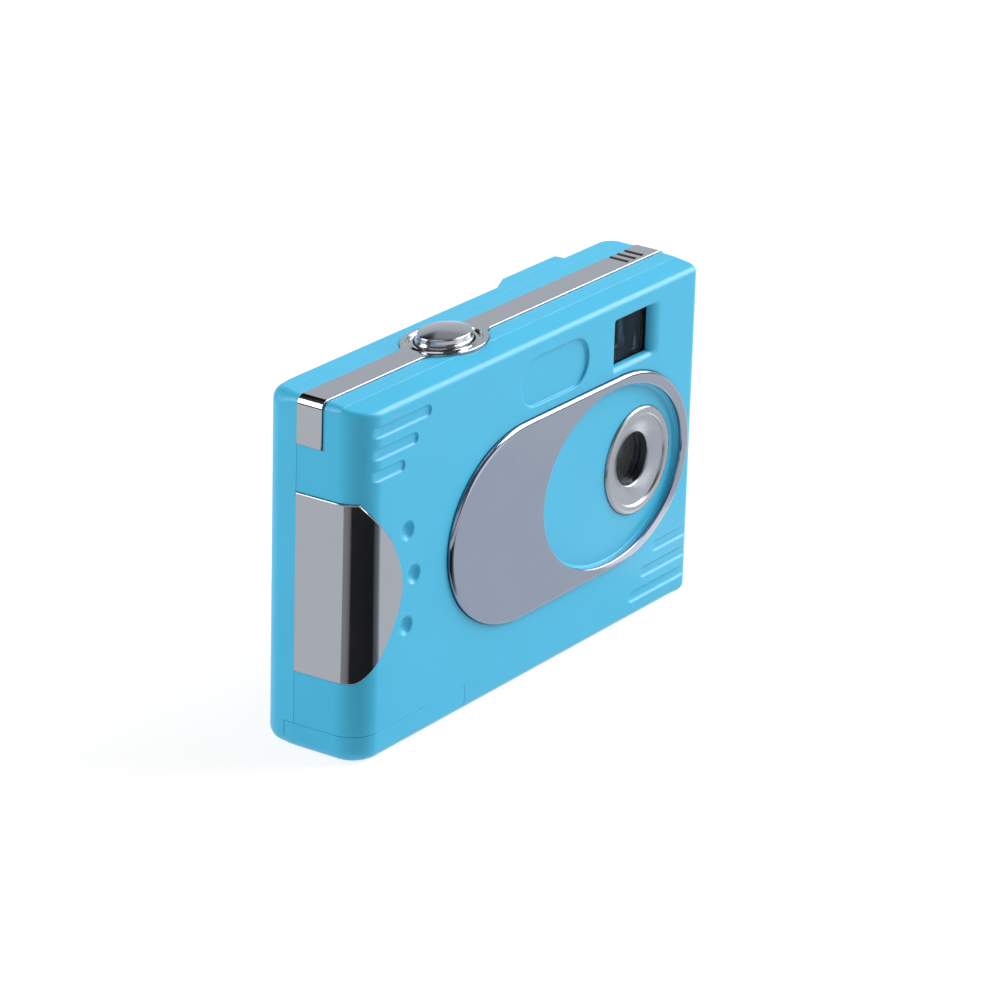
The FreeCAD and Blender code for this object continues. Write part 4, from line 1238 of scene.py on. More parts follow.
    # floor of the side recess, with the opening for the socket
    sock = [(5.05, 39.2), (8.95, 39.2), (8.95, 46.8), (5.05, 46.8)]
    ring = made["side"]
    ra = s.add(s.at(ring), (1, 0, 0))
    sa = s.add([(90.52, y, z) for y, z in sock], (1, 0, 0))
    q2 = s.at(ra)[:, [1, 2]]
    known = {}
    xs_ring = s.at(ra)[:, 0]

    def recess_floor(q):
        return np.column_stack([np.full(len(q), 90.52), q]), np.tile((1.0, 0, 0), (len(q), 1))

    sheet(s, recess_floor, [(q2, ra), (np.array(sock), sa)], [], None)
    box_wall(s, sock + sock[:1], (1, 2), 90.0, 90.52, [(0, 0, 1), (0, -1, 0), (0, 0, -1), (0, 1, 0)], axis=0)
    # floor of the seat, with the lens opening
    c = lambda r, y, nn: s.add(np.column_stack([LENS[0] + r * np.cos(TH), np.full(len(TH), y), LENS[1] + r * np.sin(TH)]), nn)
    TH = np.linspace(0, 2 * math.pi, 64, endpoint=False)
    rad = np.column_stack([np.cos(TH), 0 * TH, np.sin(TH)])
    po, no = oval(23.6, 88.3, 12.46, 43.6, 19.0, 72, 1.5)
    pe, ne = ellipse(67.33, 28.02, 19.55, 14.92, 160)
    cove = [(0.1, -0.15), (0.05, -0.137), (0.014, -0.1), (0.0, -0.05), (-0.01, 0.1), (-0.06, 0.24), (-0.16, 0.35), (-0.3, 0.42), (-0.5, 0.45)]
    wall = swept(s, pe, ne, cove, 1)
    s.loft(wall, True)
    edge_o = s.add(np.column_stack([po[:, 0], np.full(len(po), -0.15), po[:, 1]]), np.column_stack([no[:, 0], 0 * no[:, 0], no[:, 1]]))
    foot_o = s.add(np.column_stack([po[:, 0], np.full(len(po), 0.2), po[:, 1]]), np.column_stack([no[:, 0], 0 * no[:, 0], no[:, 1]]))
    s.loft([edge_o, foot_o], True)
    s.flat([edge_o, wall[0]], (0, -1, 0), (0, 2))
    s.flat([made["seat"], foot_o], (0, -1, 0), (0, 2))
    s.flat([wall[-1], c(9.26, 0.45, (0, -1, 0))], (0, -1, 0), (0, 2))
    s.loft([c(9.26, 0.45, -rad), c(9.26, 0.8, -rad)], True)
    s.flat([c(9.26, 0.8, (0, -1, 0)), c(6.0, 0.8, (0, -1, 0))], (0, -1, 0), (0, 2))
    s.loft([c(6.0, 0.8, -rad), c(6.0, 2.6, -rad)], True)
    s.loft([c(6.0, 2.6, (0, -1, 0)), c(5.95, 2.6, (0, -1, 0))], True)
    s.loft([c(5.95, 2.6, -rad), c(5.95, 4.2, -rad)], True)
    s.loft([c(5.95, 4.2, (0, 1, 0)), c(7.3, 4.2, (0, 1, 0))], True)
    s.loft([c(7.3, 4.2, rad), c(7.3, yi, rad)], True)
    fin = s.add([(x, yi, z) for x, z in made["finder"]], E)
    s.flat([inner, c(7.3, yi, E), fin], E, (0, 2))
    return s


s_front = front_cover()
FRONT_COVER = s_front.make("case_front", M["cover_blue"], frame_body("front_cover"), ["front_cover"], "cover_blue")


# ------------------------------------------------------------------ rear cover
DISP = (29.8, 65.8, 14.6, 42.6)
KEYS = {"up_button": (76.0, 37.0), "menu_button": (76.0, 28.0), "down_button": (76.0, 19.0), "power_button": (84.0, 44.4)}
SCREWS = ((32.6, 9.0), (43.6, 50.6), (85.6, 52.0), (85.6, 9.0))
REAR_Y = 18.4


def rear_wall(q):
    xy, n = REAR(q[:, 0])
    return np.column_stack([xy, q[:, 1]])


def y_pocket(s, p, n, steps, y0, sign, first=None):
    """rows of a pocket cut along Y into a flat wall at y0: steps = (offset, depth), sign +1 when Y grows with depth"""
    r = [np.column_stack([p[:, 0] + n[:, 0] * o, np.full(len(p), y0 + sign * d), p[:, 1] + n[:, 1] * o]) for o, d in steps]
    rows = grid_rows(s, r, True, sign)
    return rows


LIP_STEPS = [(0.15, 0.0), (0.075, 0.02), (0.02, 0.075), (0.0, 0.15)]


def corner_lug(s):
    """lug at the left rear corner, going on with the rounded corner of the cover down to the rest plane"""
    R, r, yf, zt, xw, xe = 3.2, 2.8, 14.1, 4.8, 0.05, 2.75
    rows = []
    for x in [0.0, 0.02, 0.07, 0.16, 0.3, 0.5, 0.75, 1.05, 1.4, 1.8, 2.2, 2.5, 2.64, xe - xw]:
        a0 = math.acos(max(1 - x / r, 0.0))
        low = r * (1 - math.sin(a0))
        row = [(yf, low), (14.65, low)]
        for k in range(11):
            a = a0 * (1 - k / 10)
            d = r * (1 - math.cos(a))
            row.append((15.2 + math.sqrt(max((R - d) ** 2 - (R - x) ** 2, 0.0)), r * (1 - math.sin(a))))
        row += [(row[-1][0], 3.4), (row[-1][0], 4.1), (row[-1][0], zt)]
        rows.append(np.array([(x + xw, y, z) for y, z in row]))
    n = grid_normals(rows, False, 1.0)
    sign = 1.0 if n[6][7] @ np.array([-1.0, 1.0, -1.0]) > 0 else -1.0
    idx = grid_rows(s, rows, False, sign)
    X, Y, Z = np.array([1.0, 0, 0]), np.array([0, 1.0, 0]), np.array([0, 0, 1.0])
    front = [tuple(q[0]) for q in rows] + [(xe, yf, zt), (xw, yf, zt)]
    s.flat([s.add(front, -Y)], -Y, (0, 2))
    top = [tuple(q[-1]) for q in rows] + [(xe, yf, zt), (xw, yf, zt)]
    s.flat([s.add(top, Z)], Z, (0, 1))
    s.flat([s.add([tuple(q) for q in rows[-1]] + [(xe, yf, zt)], X)], X, (1, 2))
    s.flat([s.add([tuple(rows[0][0]), tuple(rows[0][2]), tuple(rows[0][-1]), (xw, yf, zt)], -X)], -X, (1, 2))


def rear_cover():
    k = REAR.knots
    cols = list(spaced(0.1, k[1], 1.2)) + list(spaced(k[1], k[2], 0.42)) + list(spaced(k[2], k[3], 2.5)) \
        + list(spaced(k[3], k[4], 0.42)) + list(spaced(k[4], k[5] - 0.1, 1.2)) + [float(REAR.at_x(28.1 + LIP))]
    cols = sorted(set(round(c, 5) for c in cols))
    slim = [cols[0]]
    for c in cols[1:]:
        if c - slim[-1] > 0.15:
            slim.append(c)
    cols = slim
    zs = spaced(2.8, 55.0, 1.6)
    us = spaced(0.7, k[1], 1.4) + spaced(k[1], k[2], 0.42) + spaced(k[2] + 3, k[3] - 2, 4.0) + spaced(k[3], k[4], 0.42) + spaced(k[4] + 1, k[5] - 0.7, 1.4)
    g = np.array([(u, z) for u in us for z in zs])
    x = REAR(g[:, 0])[0][:, 0]
    dots = g[~((g[:, 1] < 5.4) & (x < 29.0))]
    made = {}

    def holes(s, W):
        out = []

        def cut(name, p, n, steps):
            rows = y_pocket(s, p, n, steps, REAR_Y, -1.0)
            made[name] = rows[-1]
            q = p + n * steps[0][0]
            out.append((np.stack([REAR.at_x(q[:, 0]), q[:, 1]], 1), rows[0]))

        p, n = rounded(DISP[0] - 0.1, DISP[1] + 0.1, DISP[2] - 0.1, DISP[3] + 0.1, 2.1, 2.0, 8)
        cut("display", p, n, LIP_STEPS + [(0.0, 1.15)])
        for name, (kx, kz) in KEYS.items():
            p, n = ellipse(kx, kz, 3.4, 3.4, 40)
            cut(name, p, n, LIP_STEPS + [(0.0, 2.0)])
        for i, (sx, sz) in enumerate(SCREWS):
            p, n = ellipse(sx, sz, 2.0, 2.0, 32)
            cut("screw%d" % i, p, n, LIP_STEPS + [(0.0, 1.5)])
        p, n = rounded(68.3, 77.1, 46.2, 54.0, 0.2, 3.0, 2)
        cut("tube", p, n, [(0.0, 0.0), (0.0, 2.0)])
        return out

    tops = []
    xs = spaced(3.0, 89.0, 2.4)
    for y in (14.8, 14.94, 15.0, 15.06, 15.2):
        tops.append((np.array([(x, y) for x in xs if not 24.5 < x < 43.5]), False))
    edge = EDGE_R[(EDGE_R[:, 0] > 20) & (EDGE_R[:, 0] < 48) & (EDGE_R[:, 1] > SEAM + 0.001)]
    t = np.gradient(edge, axis=0)
    t /= np.linalg.norm(t, axis=1, keepdims=True)
    m = np.stack([-t[:, 1], t[:, 0]], 1)
    for d in steep_lines(0.85, 0.08, 0.03):
        q = edge - m * d
        tops.append((q[q[:, 1] > SEAM + 0.22], False))
    for d in steep_lines(0.6, 0.05, 0.03):
        p, _ = ellipse(BTN[0], BTN[1], 5.95 - d, 4.6 - d, 96)
        tops.append((p[p[:, 1] > SEAM + 0.25], False))
    dots2 = [(x, y) for x in spaced(5, 87, 3.2) for y in (13.4, 16.0) if not (24.0 < x < 44.0 and y < 17)]
    ends = [edge[0, 0], edge[-1, 0]]
    rear_x = spaced(3.2, 88.8, 2.2)
    rear_x = [x for x in rear_x if not (ends[0] - 0.4 < x < ends[1] + 0.4)]
    rear_x += list(edge[(edge[:, 1] < SEAM + 0.3), 0]) + [e + o for e in ends for o in (-0.3, 0.3)] \
        + [x for x in spaced(ends[0] + 0.6, ends[1] - 0.6, 1.1)] \
        + [BTN[0] + sg * (5.09 + o) for sg in (-1, 1) for o in (-0.16, -0.1, -0.05, 0, 0.05, 0.12)]
    rear_x = sorted(rear_x)
    slim = [rear_x[0]]
    for x in rear_x[1:]:
        if x - slim[-1] > 0.04:
            slim.append(x)
    seam_z = (spaced(4.8, 55.6, 1.8), spaced(2.2, 56.8, 1.8))
    s, inner, E, yi = cover_skin(REAR, rear_wall, rear_top, [], dots, holes, tops, dots2, slim, cols, seam_z)
    # openings of the back wall, seen from inside
    inner_loops = [inner]
    q = s.at(made["display"])
    floor_loop = made["display"]
    p, _ = rounded(DISP[0] + 2, DISP[1] - 2, DISP[2] + 2, DISP[3] - 2, 0.6, 3.0, 3)
    a = s.add(np.column_stack([p[:, 0], np.full(len(p), 17.25), p[:, 1]]), (0, 1, 0))
    s.flat([floor_loop, a], (0, 1, 0), (0, 2))
    _, nn = rounded(DISP[0] + 2, DISP[1] - 2, DISP[2] + 2, DISP[3] - 2, 0.6, 3.0, 3)
    side = np.column_stack([-nn[:, 0], np.zeros(len(nn)), -nn[:, 1]])
    b0 = s.add(s.at(a), side)
    b1 = s.add(np.column_stack([p[:, 0], np.full(len(p), yi), p[:, 1]]), side)
    s.loft([b0, b1], True)
    inner_loops.append(b1)
    for name in KEYS:
        inner_loops.append(made[name])
    for i, (sx, sz) in enumerate(SCREWS):
        p, n = ellipse(sx, sz, 1.1, 1.1, 24)
        a = s.add(np.column_stack([p[:, 0], np.full(len(p), 16.9), p[:, 1]]), (0, 1, 0))
        s.flat([made["screw%d" % i], a], (0, 1, 0), (0, 2))
        side = np.column_stack([-n[:, 0], np.zeros(len(n)), -n[:, 1]])
        b0 = s.add(s.at(a), side)
        b1 = s.add(np.column_stack([p[:, 0], np.full(len(p), yi), p[:, 1]]), side)
        s.loft([b0, b1], True)
        inner_loops.append(b1)
    inner_loops.append(made["tube"])
    s.flat(inner_loops, E, (0, 2))
    # bump that carries the eyepiece, with a ramp on its left
    ramp = Path([(58.0, 16.4), (60.0, 18.2), (66.0, 20.8), (78.6, 20.8), (78.6, 16.4)], [0, 6.0, 5.0, 0.9, 0], -1)
    tt = np.linspace(0, ramp.length, 6001)
    rp = ramp(tt)[0]
    stop = int(np.argmax(rp[:, 0]))
    hx, hy = rp[:stop + 1, 0], rp[:stop + 1, 1]

    HOOD_TOP = 58.0

    def level(x, z):
        h = np.interp(x, hx, hy)
        lo, hi = 43.6, HOOD_TOP
        g = np.full(np.shape(z), 20.8)
        g = np.where(z < lo + 1.2, 19.6 + np.sqrt(np.maximum(1.44 - (lo + 1.2 - z) ** 2, 0)), g)
        g = np.where(z > hi - 1.2, 19.6 + np.sqrt(np.maximum(1.44 - (z - hi + 1.2) ** 2, 0)), g)
        return np.minimum(h, g)

    x0 = float(np.interp(18.0, hy[:int(np.argmax(hy))], hx[:int(np.argmax(hy))]))
    rx = [0.9 * math.cos(math.radians(a)) for a in (0, 12, 25, 38, 52, 66, 80, 90)]
    xs = sorted(spaced(x0, 77.7, 0.8)[:-1] + [77.7 + r for r in rx])
    rz = [1.2 * math.cos(math.radians(a)) for a in (0, 12, 25, 38, 52, 66, 80, 90)]
    zs = sorted([44.8 - r for r in rz] + spaced(44.8, 56.8, 1.2)[1:-1] + [56.8 + r for r in rz])

    def hood_points(q):
        return np.column_stack([q[:, 0], level(q[:, 0], q[:, 1]), q[:, 1]])

    def hood_surface(q):
        e = 0.01
        q = np.asarray(q, float)
        x = np.clip(q[:, 0], x0 + e, 78.6 - e)
        z = np.clip(q[:, 1], 43.6 + e, HOOD_TOP - e)
        gx = (level(x + e, z) - level(x - e, z)) / (2 * e)
        gz = (level(x, z + e) - level(x, z - e)) / (2 * e)
        n = np.column_stack([-gx, np.ones(len(x)), -gz])
        return hood_points(q), n / np.linalg.norm(n, axis=1, keepdims=True)

    b = [(x, 43.6) for x in xs] + [(78.6, z) for z in zs[1:]] + [(x, HOOD_TOP) for x in xs[::-1][1:]] + [(x0, z) for z in zs[::-1][1:-1]]
    b = np.array(b)
    P, N = hood_surface(b)
    border = s.add(P, N)
    p, n = rounded(68.6, 76.8, 46.5, 53.7, 0.4, 2.0, 4)
    r = [np.column_stack([p[:, 0] + n[:, 0] * o, np.full(len(p), 20.8 - d), p[:, 1] + n[:, 1] * o])
         for o, d in ((0.15, 0.0), (0.075, 0.02), (0.02, 0.075), (0.0, 0.15))]
    fx = lambda v, f: v * (1 - f)
    for f in (0.5, 1.0):
        x = p[:, 0] * (1 - f) + (69.3 + (p[:, 0] - 68.6) / 8.2 * 6.8) * f
        z = p[:, 1] * (1 - f) + (47.2 + (p[:, 1] - 46.5) / 7.2 * 5.8) * f
        r.append(np.column_stack([x, np.full(len(p), 20.65 - 1.1 * f), z]))
    rows = grid_rows(s, r, True, -1.0)
    mouth = rows[-1]
    hole = p + n * 0.15
    lines = [(np.array([(x, z) for z in zs[1:-1]]), False) for x in xs[1:-1] if x > 77.7 or x < 66.5] \
        + [(np.array([(x, z) for x in xs[1:-1]]), False) for z in zs[1:-1] if z < 44.9 or z > 56.7]
    dd = [(x, z) for x in xs if 66.5 < x < 77.6 for z in zs if 44.9 < z < 56.7]
    dd = [q for q in dd if not (68.0 < q[0] < 77.3 and 46.0 < q[1] < 54.2)]
    sheet(s, hood_surface, [(b, border), (hole, rows[0])], lines, dd)
    base = 17.2
    sk0 = []
    nrm = np.zeros((len(b), 3))
    nrm[:, 0] = np.where(b[:, 0] > 78.59, 1.0, np.where(b[:, 0] < x0 + 0.01, -1.0, 0))
    nrm[:, 2] = np.where(b[:, 1] > HOOD_TOP - 0.01, 1.0, np.where(b[:, 1] < 43.61, -1.0, 0))
    sk0 = s.add(P, nrm)
    low = P.copy()
    low[:, 1] = base
    low[:, 2] = np.where(b[:, 1] > HOOD_TOP - 0.01, HOOD_TOP + 0.12 * np.clip((P[:, 1] - base) / 2.4, 0, 1), low[:, 2])
    sk1 = s.add(low, nrm)
    s.loft([sk0, sk1], True)
    seat = [(68.7, 46.6), (76.7, 46.6), (76.7, 53.6), (68.7, 53.6)]
    sa = s.add([(x, 19.55, z) for x, z in seat], (0, -1, 0))
    s.flat([sa, mouth], (0, -1, 0), (0, 2))
    box_wall(s, seat + seat[:1], (0, 2), base, 19.55, [(0, 0, 1), (-1, 0, 0), (0, 0, -1), (1, 0, 0)])
    sb = s.add([(x, base, z) for x, z in seat], (0, -1, 0))
    s.flat([sk1, sb], (0, -1, 0), (0, 2))
    # hinge lugs at the lower edge
    hy_, hz_ = 16.2, 2.2
    corner_lug(s)
    for xa, xb in ((26.05, 28.25),):
        sl = []
        for x in [xa, xa + 0.1] + spaced(xa + 0.4, xb - 0.1, 0.3) + [xb]:
            pts, nr = [], []
            inset = 0.04 if x in (xa, xb) else 0.0
            loop = [(hy_ + (2.16 - inset) * math.cos(math.radians(a)), hz_ + (2.16 - inset) * math.sin(math.radians(a))) for a in range(190, 351, 10)]
            loop += [(18.38 - inset, hz_ + 0.1), (18.38 - inset, 4.8), (14.04 + inset, 4.8), (14.04 + inset, hz_)]
            ymax = 18.4 if x > 3.35 else float(15.2 + math.sqrt(max(3.2 ** 2 - (3.35 - x) ** 2, 0)))
            zmin = 0.0 if x > 2.5 else 2.5 - math.sqrt(max(6.25 - (2.5 - x) ** 2, 0))
            loop = [(min(y, ymax - 0.02), max(z, zmin + 0.02)) for y, z in loop]
            c = np.mean(loop, axis=0)
            for y, z in loop:
                pts.append((x, y, z))
                v = np.array([y, z]) - c
                nr.append((0, v[0], v[1]))
            sl.append(np.array(pts))
        rows = grid_rows(s, sl, True)
        for row, nx in ((rows[0], -1.0), (rows[-1], 1.0)):
            cpt = s.at(row).mean(0)
            dup = s.add(s.at(row), (nx, 0, 0))
            ci = s.add([cpt], (nx, 0, 0))
            for i in range(len(dup)):
                s.f.append((dup[i], dup[(i + 1) % len(dup)], ci[0]))
    return s


REAR_COVER = rear_cover().make("case_rear", M["cover_blue"], frame_body("rear_cover"), ["rear_cover"], "cover_blue")


# ------------------------------------------------------------------ door at the lower left corner
def bar_x(s, loop, x0, x1, edge=0.12, hole=None):
    """solid bar along X with the given closed section in Y, Z and softened ends"""
    loop = np.array(loop, float)
    n = loop_normals(loop)
    sl = []
    for x, o in ((x0, edge), (x0 + edge * 0.3, edge * 0.3), (x0 + edge, 0.0), (x1 - edge, 0.0), (x1 - edge * 0.3, edge * 0.3), (x1, edge)):
        q = loop - n * o
        sl.append(np.column_stack([np.full(len(q), x), q]))
    ctr = loop.mean(0)
    rows = []
    for k, r in enumerate(sl):
        nx = (-0.8, -0.5, 0, 0, 0.5, 0.8)[k]
        rows.append(s.add(r, np.column_stack([np.full(len(r), nx), n])))
    s.loft(rows, True)
    loops = []
    if hole:
        cy, cz, r = hole
        a = np.linspace(0, 2 * math.pi, 28, endpoint=False)
        c = np.column_stack([cy + r * np.cos(a), cz + r * np.sin(a)])
        inn = np.column_stack([np.zeros(28), -np.cos(a), -np.sin(a)])
        h0 = s.add(np.column_stack([np.full(28, x0), c]), inn)
        h1 = s.add(np.column_stack([np.full(28, x1), c]), inn)
        s.loft([h0, h1], True)
        loops = [h0, h1]
    s.flat([rows[0]] + loops[:1], (-1, 0, 0), (1, 2))
    s.flat([rows[-1]] + loops[1:], (1, 0, 0), (1, 2))


def battery_door():
    s = Solid()
    XR, YR, ZT = 28.06, 14.02, 4.63
    e = 0.07
    path = Path([(0.0439, YR), (0, SEAM), (0.45, 0), (XR, 0)], [0, 0, 5.0, 0], 1)
    k = path.knots
    u0, u1 = e, path.length - e
    cols = sorted(set([round(c, 4) for c in spaced(u0, k[2], 1.0) + spaced(k[2], k[3], 0.42) + spaced(k[3], u1, 1.0)]))
    rad = lambda u: np.interp(u, [0, k[2], k[3], path.length], [2.5, 2.4, 2.0, 2.0])

    def nick(x, y, z):
        q = 9 - (x - 27.95) ** 2 - (y - 4.6) ** 2
        return smax(z, np.where(q > 0, -2.1 + np.sqrt(np.maximum(q, 0)), -2.1), 0.2)

    def wall(q):
        xy, n = path(q[:, 0])
        return np.column_stack([xy, q[:, 1]])

    W = lift(wall, 1.0)
    top = [(u, ZT - e) for u in cols]
    zr = spaced(float(rad(u1)), ZT - e, 0.6)[1:-1][::-1]
    zl = spaced(float(rad(u0)), ZT - e, 0.6)[1:-1]
    border = np.array(top + [(u1, z) for z in zr] + [(u, float(rad(u))) for u in cols[::-1]] + [(u0, z) for z in zl])
    P, N = W(border)
    idx = s.add(P, N)
    a = len(cols)
    i_top, i_r, i_low, i_l = idx[:a], idx[a:a + len(zr)], idx[a + len(zr):2 * a + len(zr)], idx[2 * a + len(zr):]
    sheet(s, W, [(border, idx)], [], np.array([(u, z) for u in cols[1:-1] for z in (3.2,)]))

    def band(q):
        u, t = q[:, 0], q[:, 1]
        xy, n = path(u)
        r = rad(u)
        inn = xy - n * r[:, None]
        w0, c, w1 = np.column_stack([xy, r]), np.column_stack([xy, 0 * u]), np.column_stack([inn, 0 * u])
        A, B, D = (1 - t) ** 2, 2 * 0.7071 * t * (1 - t), t ** 2
        p = (A[:, None] * w0 + B[:, None] * c + D[:, None] * w1) / (A + B + D)[:, None]
        p[:, 2] = nick(p[:, 0], p[:, 1], p[:, 2])
        return p

    Bn = lift(band, -1.0)
    rows = [i_low[::-1]]
    for t in np.linspace(0, 1, 8)[1:]:
        p, n = Bn(np.array([(u, t) for u in cols]))
        rows.append(s.add(p, n))
    s.loft(rows)

    def under(q):
        return np.column_stack([q, nick(q[:, 0], q[:, 1], np.zeros(len(q)))])

    U = lift(under, -1.0)
    lq = rows[-1]
    p = s.at(lq)
    ys = spaced(p[-1, 1], YR - e, 0.5)[1:]
    xr = p[-1, 0]
    pr, nr = U(np.array([(xr, y) for y in ys]))
    i_br = s.add(pr, nr)
    xs = spaced(xr, p[0, 0], 1.0)[1:-1]
    pr, nr = U(np.array([(x, YR - e) for x in xs]))
    i_bk = s.add(pr, nr)
    loop = np.concatenate([lq, i_br, i_bk])
    g = [(x, y) for x in spaced(25.0, 27.6, 0.35) for y in spaced(2.2, 7.2, 0.4)]
    g += [(x, y) for x in spaced(5, 24, 2.5) for y in (4, 7, 10, 12.5)]
    sheet(s, U, [(s.at(loop)[:, :2], loop)], [], g)
    X, Y, Z = np.array([1.0, 0, 0]), np.array([0, 1.0, 0]), np.array([0, 0, 1.0])
    band_r = np.array([r[-1] for r in rows[1:]])
    band_l = np.array([r[0] for r in rows[1:]])
    chain, outs = [], []

    def put(i, d):
        for q in np.atleast_1d(i):
            chain.append(int(q))
            outs.append(d)

    put(i_top[0], Y + Z)
    put(i_top[1:-1], Z)
    put(i_top[-1], X + Z)
    put(i_r, X)
    put(i_low[0], X)
    put(band_r, X)
    put(i_br[:-1], X)
    put(i_br[-1], X + Y)
    put(i_bk, Y)
    put(band_l[::-1], Y)
    put(i_low[-1], Y)
    put(i_l, Y)
    rr = s.lip(np.array(chain), np.array(outs), e, 4)
    s.loft(rr, True)
    last = rr[-1]
    nt = len(i_top) - 1
    nb = chain.index(int(i_br[-1]))
    p_top, p_right, p_rear = last[:nt + 1], last[nt:nb + 1], np.concatenate([last[nb:], last[:1]])
    inner = Path([(1.719, YR), (1.95, 1.7), (XR, 1.7)], [0, 3.4, 0], 1)
    ui = sorted(set([round(c, 4) for c in spaced(0, inner.knots[1], 2.0) + spaced(inner.knots[1], inner.knots[2], 0.4) + spaced(inner.knots[2], inner.length, 2.0)]))
    xy, n = inner(np.array(ui))
    wn = np.column_stack([-n, np.zeros(len(n))])
    hi = s.add(np.column_stack([xy, np.full(len(xy), ZT)]), wn)
    lo = s.add(np.column_stack([xy, np.full(len(xy), 2.4)]), wn)
    s.loft([hi, lo])
    s.flat([np.concatenate([p_top, hi[::-1]])], Z, (0, 1))
    c = s.add([(XR, YR, 2.4)], Z)
    s.flat([np.concatenate([lo, c])], Z, (0, 1))
    s.flat([np.concatenate([p_right, c, lo[-1:], hi[-1:]])], X, (1, 2))
    s.flat([np.concatenate([p_rear, hi[:1], lo[:1], c])], Y, (0, 2))
    arc = [(16.2 + 2.2 * math.cos(math.radians(t)), 2.2 + 2.2 * math.sin(math.radians(t))) for t in range(-90, 188, 8)]
    bar_x(s, [(13.4, 0.06)] + arc + [(13.4, 1.9)], 3.0, 25.8, 0.12, (16.2, 2.2, 0.65))
    return s


BATTERY_DOOR = battery_door().make("door_shell", M["cover_blue"], frame_body("battery_door"), ["battery_door"], "cover_blue")


# ------------------------------------------------------------------ sheet-metal and plated parts
def slab(s, chart, border, bn, thick, prof, lines=(), dots=None, depth=None, holes=(), inner=0.0):
    """Plate laid over a chart(q) -> points, normals.  border: closed 2-D loop of its full outline with
    outward normals; prof: (inset, depth) steps of its edge, from the flat face to the full outline;
    holes: (loop, normals, prof) the same for openings."""
    depth = depth or (lambda q: np.zeros(len(q)))

    def face(q):
        p, n = chart(q)
        return p - n * depth(q)[:, None]

    side = chart(np.zeros((1, 2)) + np.asarray(border).mean(0))[1][0]
    F0 = lift(face, 1.0)
    test = F0(np.asarray(border).mean(0)[None])[1][0]
    F = lift(face, 1.0 if test @ side > 0 else -1.0)
    e = 1e-3
    fronts, backs = [], []
    for q, n2, pr, sg in [(border, bn, prof, 1.0)] + [(h[0], h[1], h[2], -1.0) for h in holes]:
        q, n2 = np.asarray(q, float), np.asarray(n2, float)
        pn = profile_normals([(-a, b) for a, b in pr])      # x: outwards, y: depth
        rows = []
        for k, (inset, d) in enumerate(pr):
            qq = q - sg * n2 * inset
            p, n = chart(qq)
            pe, _ = chart(qq + n2 * e)
            ev = pe - p
            ev /= np.linalg.norm(ev, axis=1, keepdims=True)
            d0 = depth(qq)
            w = np.array([pn[k][0], pn[k][1]])
            nn = sg * ev * abs(w[0]) + n * max(-w[1], w[1])
            if k == 0:
                nn = F(qq)[1]
            rows.append(s.add(p - n * (d0 + d)[:, None], nn))
        p, n = chart(q)
        pe, _ = chart(q + n2 * e)
        ev = pe - p
        ev /= np.linalg.norm(ev, axis=1, keepdims=True)
        w0 = s.add(s.at(rows[-1]), sg * ev)
        w1 = s.add(p - n * (thick if sg > 0 or not inner else inner), sg * ev)
        s.loft(rows, True)
        s.loft([w0, w1], True)
        fronts.append((q - sg * n2 * pr[0][0], rows[0]))
        backs.append((q, w1, p, n))
    sheet(s, F, fronts, list(lines), dots)
    if not inner:
        Bk = lambda q: (chart(q)[0] - chart(q)[1] * thick, -chart(q)[1])
        sheet(s, Bk, [(q, s.add(s.at(w), -n)) for q, w, p, n in backs], [], None)
    return [w for _, w, _, _ in backs]


def edge_prof(r, steps=4):
    return [(r * (1 - math.sin(math.pi / 2 * i / steps)), r * (1 - math.cos(math.pi / 2 * i / steps))) for i in range(steps + 1)]


def soft_loop(pts, radii, step=0.8):
    """closed polygon with rounded corners and outward normals; radius 0 keeps a vertex of a smooth run"""
    pts = [np.array(p, float) for p in pts]
    m = len(pts)
    out = []
    for i in range(m):
        a, b, c = pts[i - 1], pts[i], pts[(i + 1) % m]
        if radii[i] <= 0:
            out.append(b)
            continue
        u, v = (a - b) / np.linalg.norm(a - b), (c - b) / np.linalg.norm(c - b)
        half = math.acos(max(-1, min(1, u @ v))) / 2
        t = radii[i] / math.tan(half)
        bis = (u + v) / np.linalg.norm(u + v)
        o = b + bis * radii[i] / math.sin(half)
        p, q = b + u * t, b + v * t
        a0, a1 = math.atan2(*(p - o)[::-1]), math.atan2(*(q - o)[::-1])
        d = (a1 - a0 + math.pi) % (2 * math.pi) - math.pi
        for k in range(6):
            ang = a0 + d * k / 5
            out.append(o + radii[i] * np.array([math.cos(ang), math.sin(ang)]))
    dense = []
    for a, b in zip(out, out[1:] + out[:1]):
        l = np.linalg.norm(b - a)
        k = max(1, int(l / step))
        for i in range(k):
            dense.append(a + (b - a) * i / k)
    p = np.array(dense)
    e0 = np.roll(p, -1, 0) - p
    l0 = np.linalg.norm(e0, axis=1, keepdims=True)
    e0 = e0 / l0
    e1 = np.roll(e0, 1, 0)
    t = e0 + e1
    t /= np.linalg.norm(t, axis=1, keepdims=True)
    n = np.stack([t[:, 1], -t[:, 0]], 1)
    area2 = np.sum(p[:, 0] * np.roll(p[:, 1], -1) - np.roll(p[:, 0], -1) * p[:, 1])
    return p, (n if area2 > 0 else -n)


# -------- side grip
def grip_chart(q):
    xy, n = FRONT(q[:, 0])
    return np.column_stack([xy + n * 0.25, q[:, 1]]), np.column_stack([n, np.zeros(len(n))])


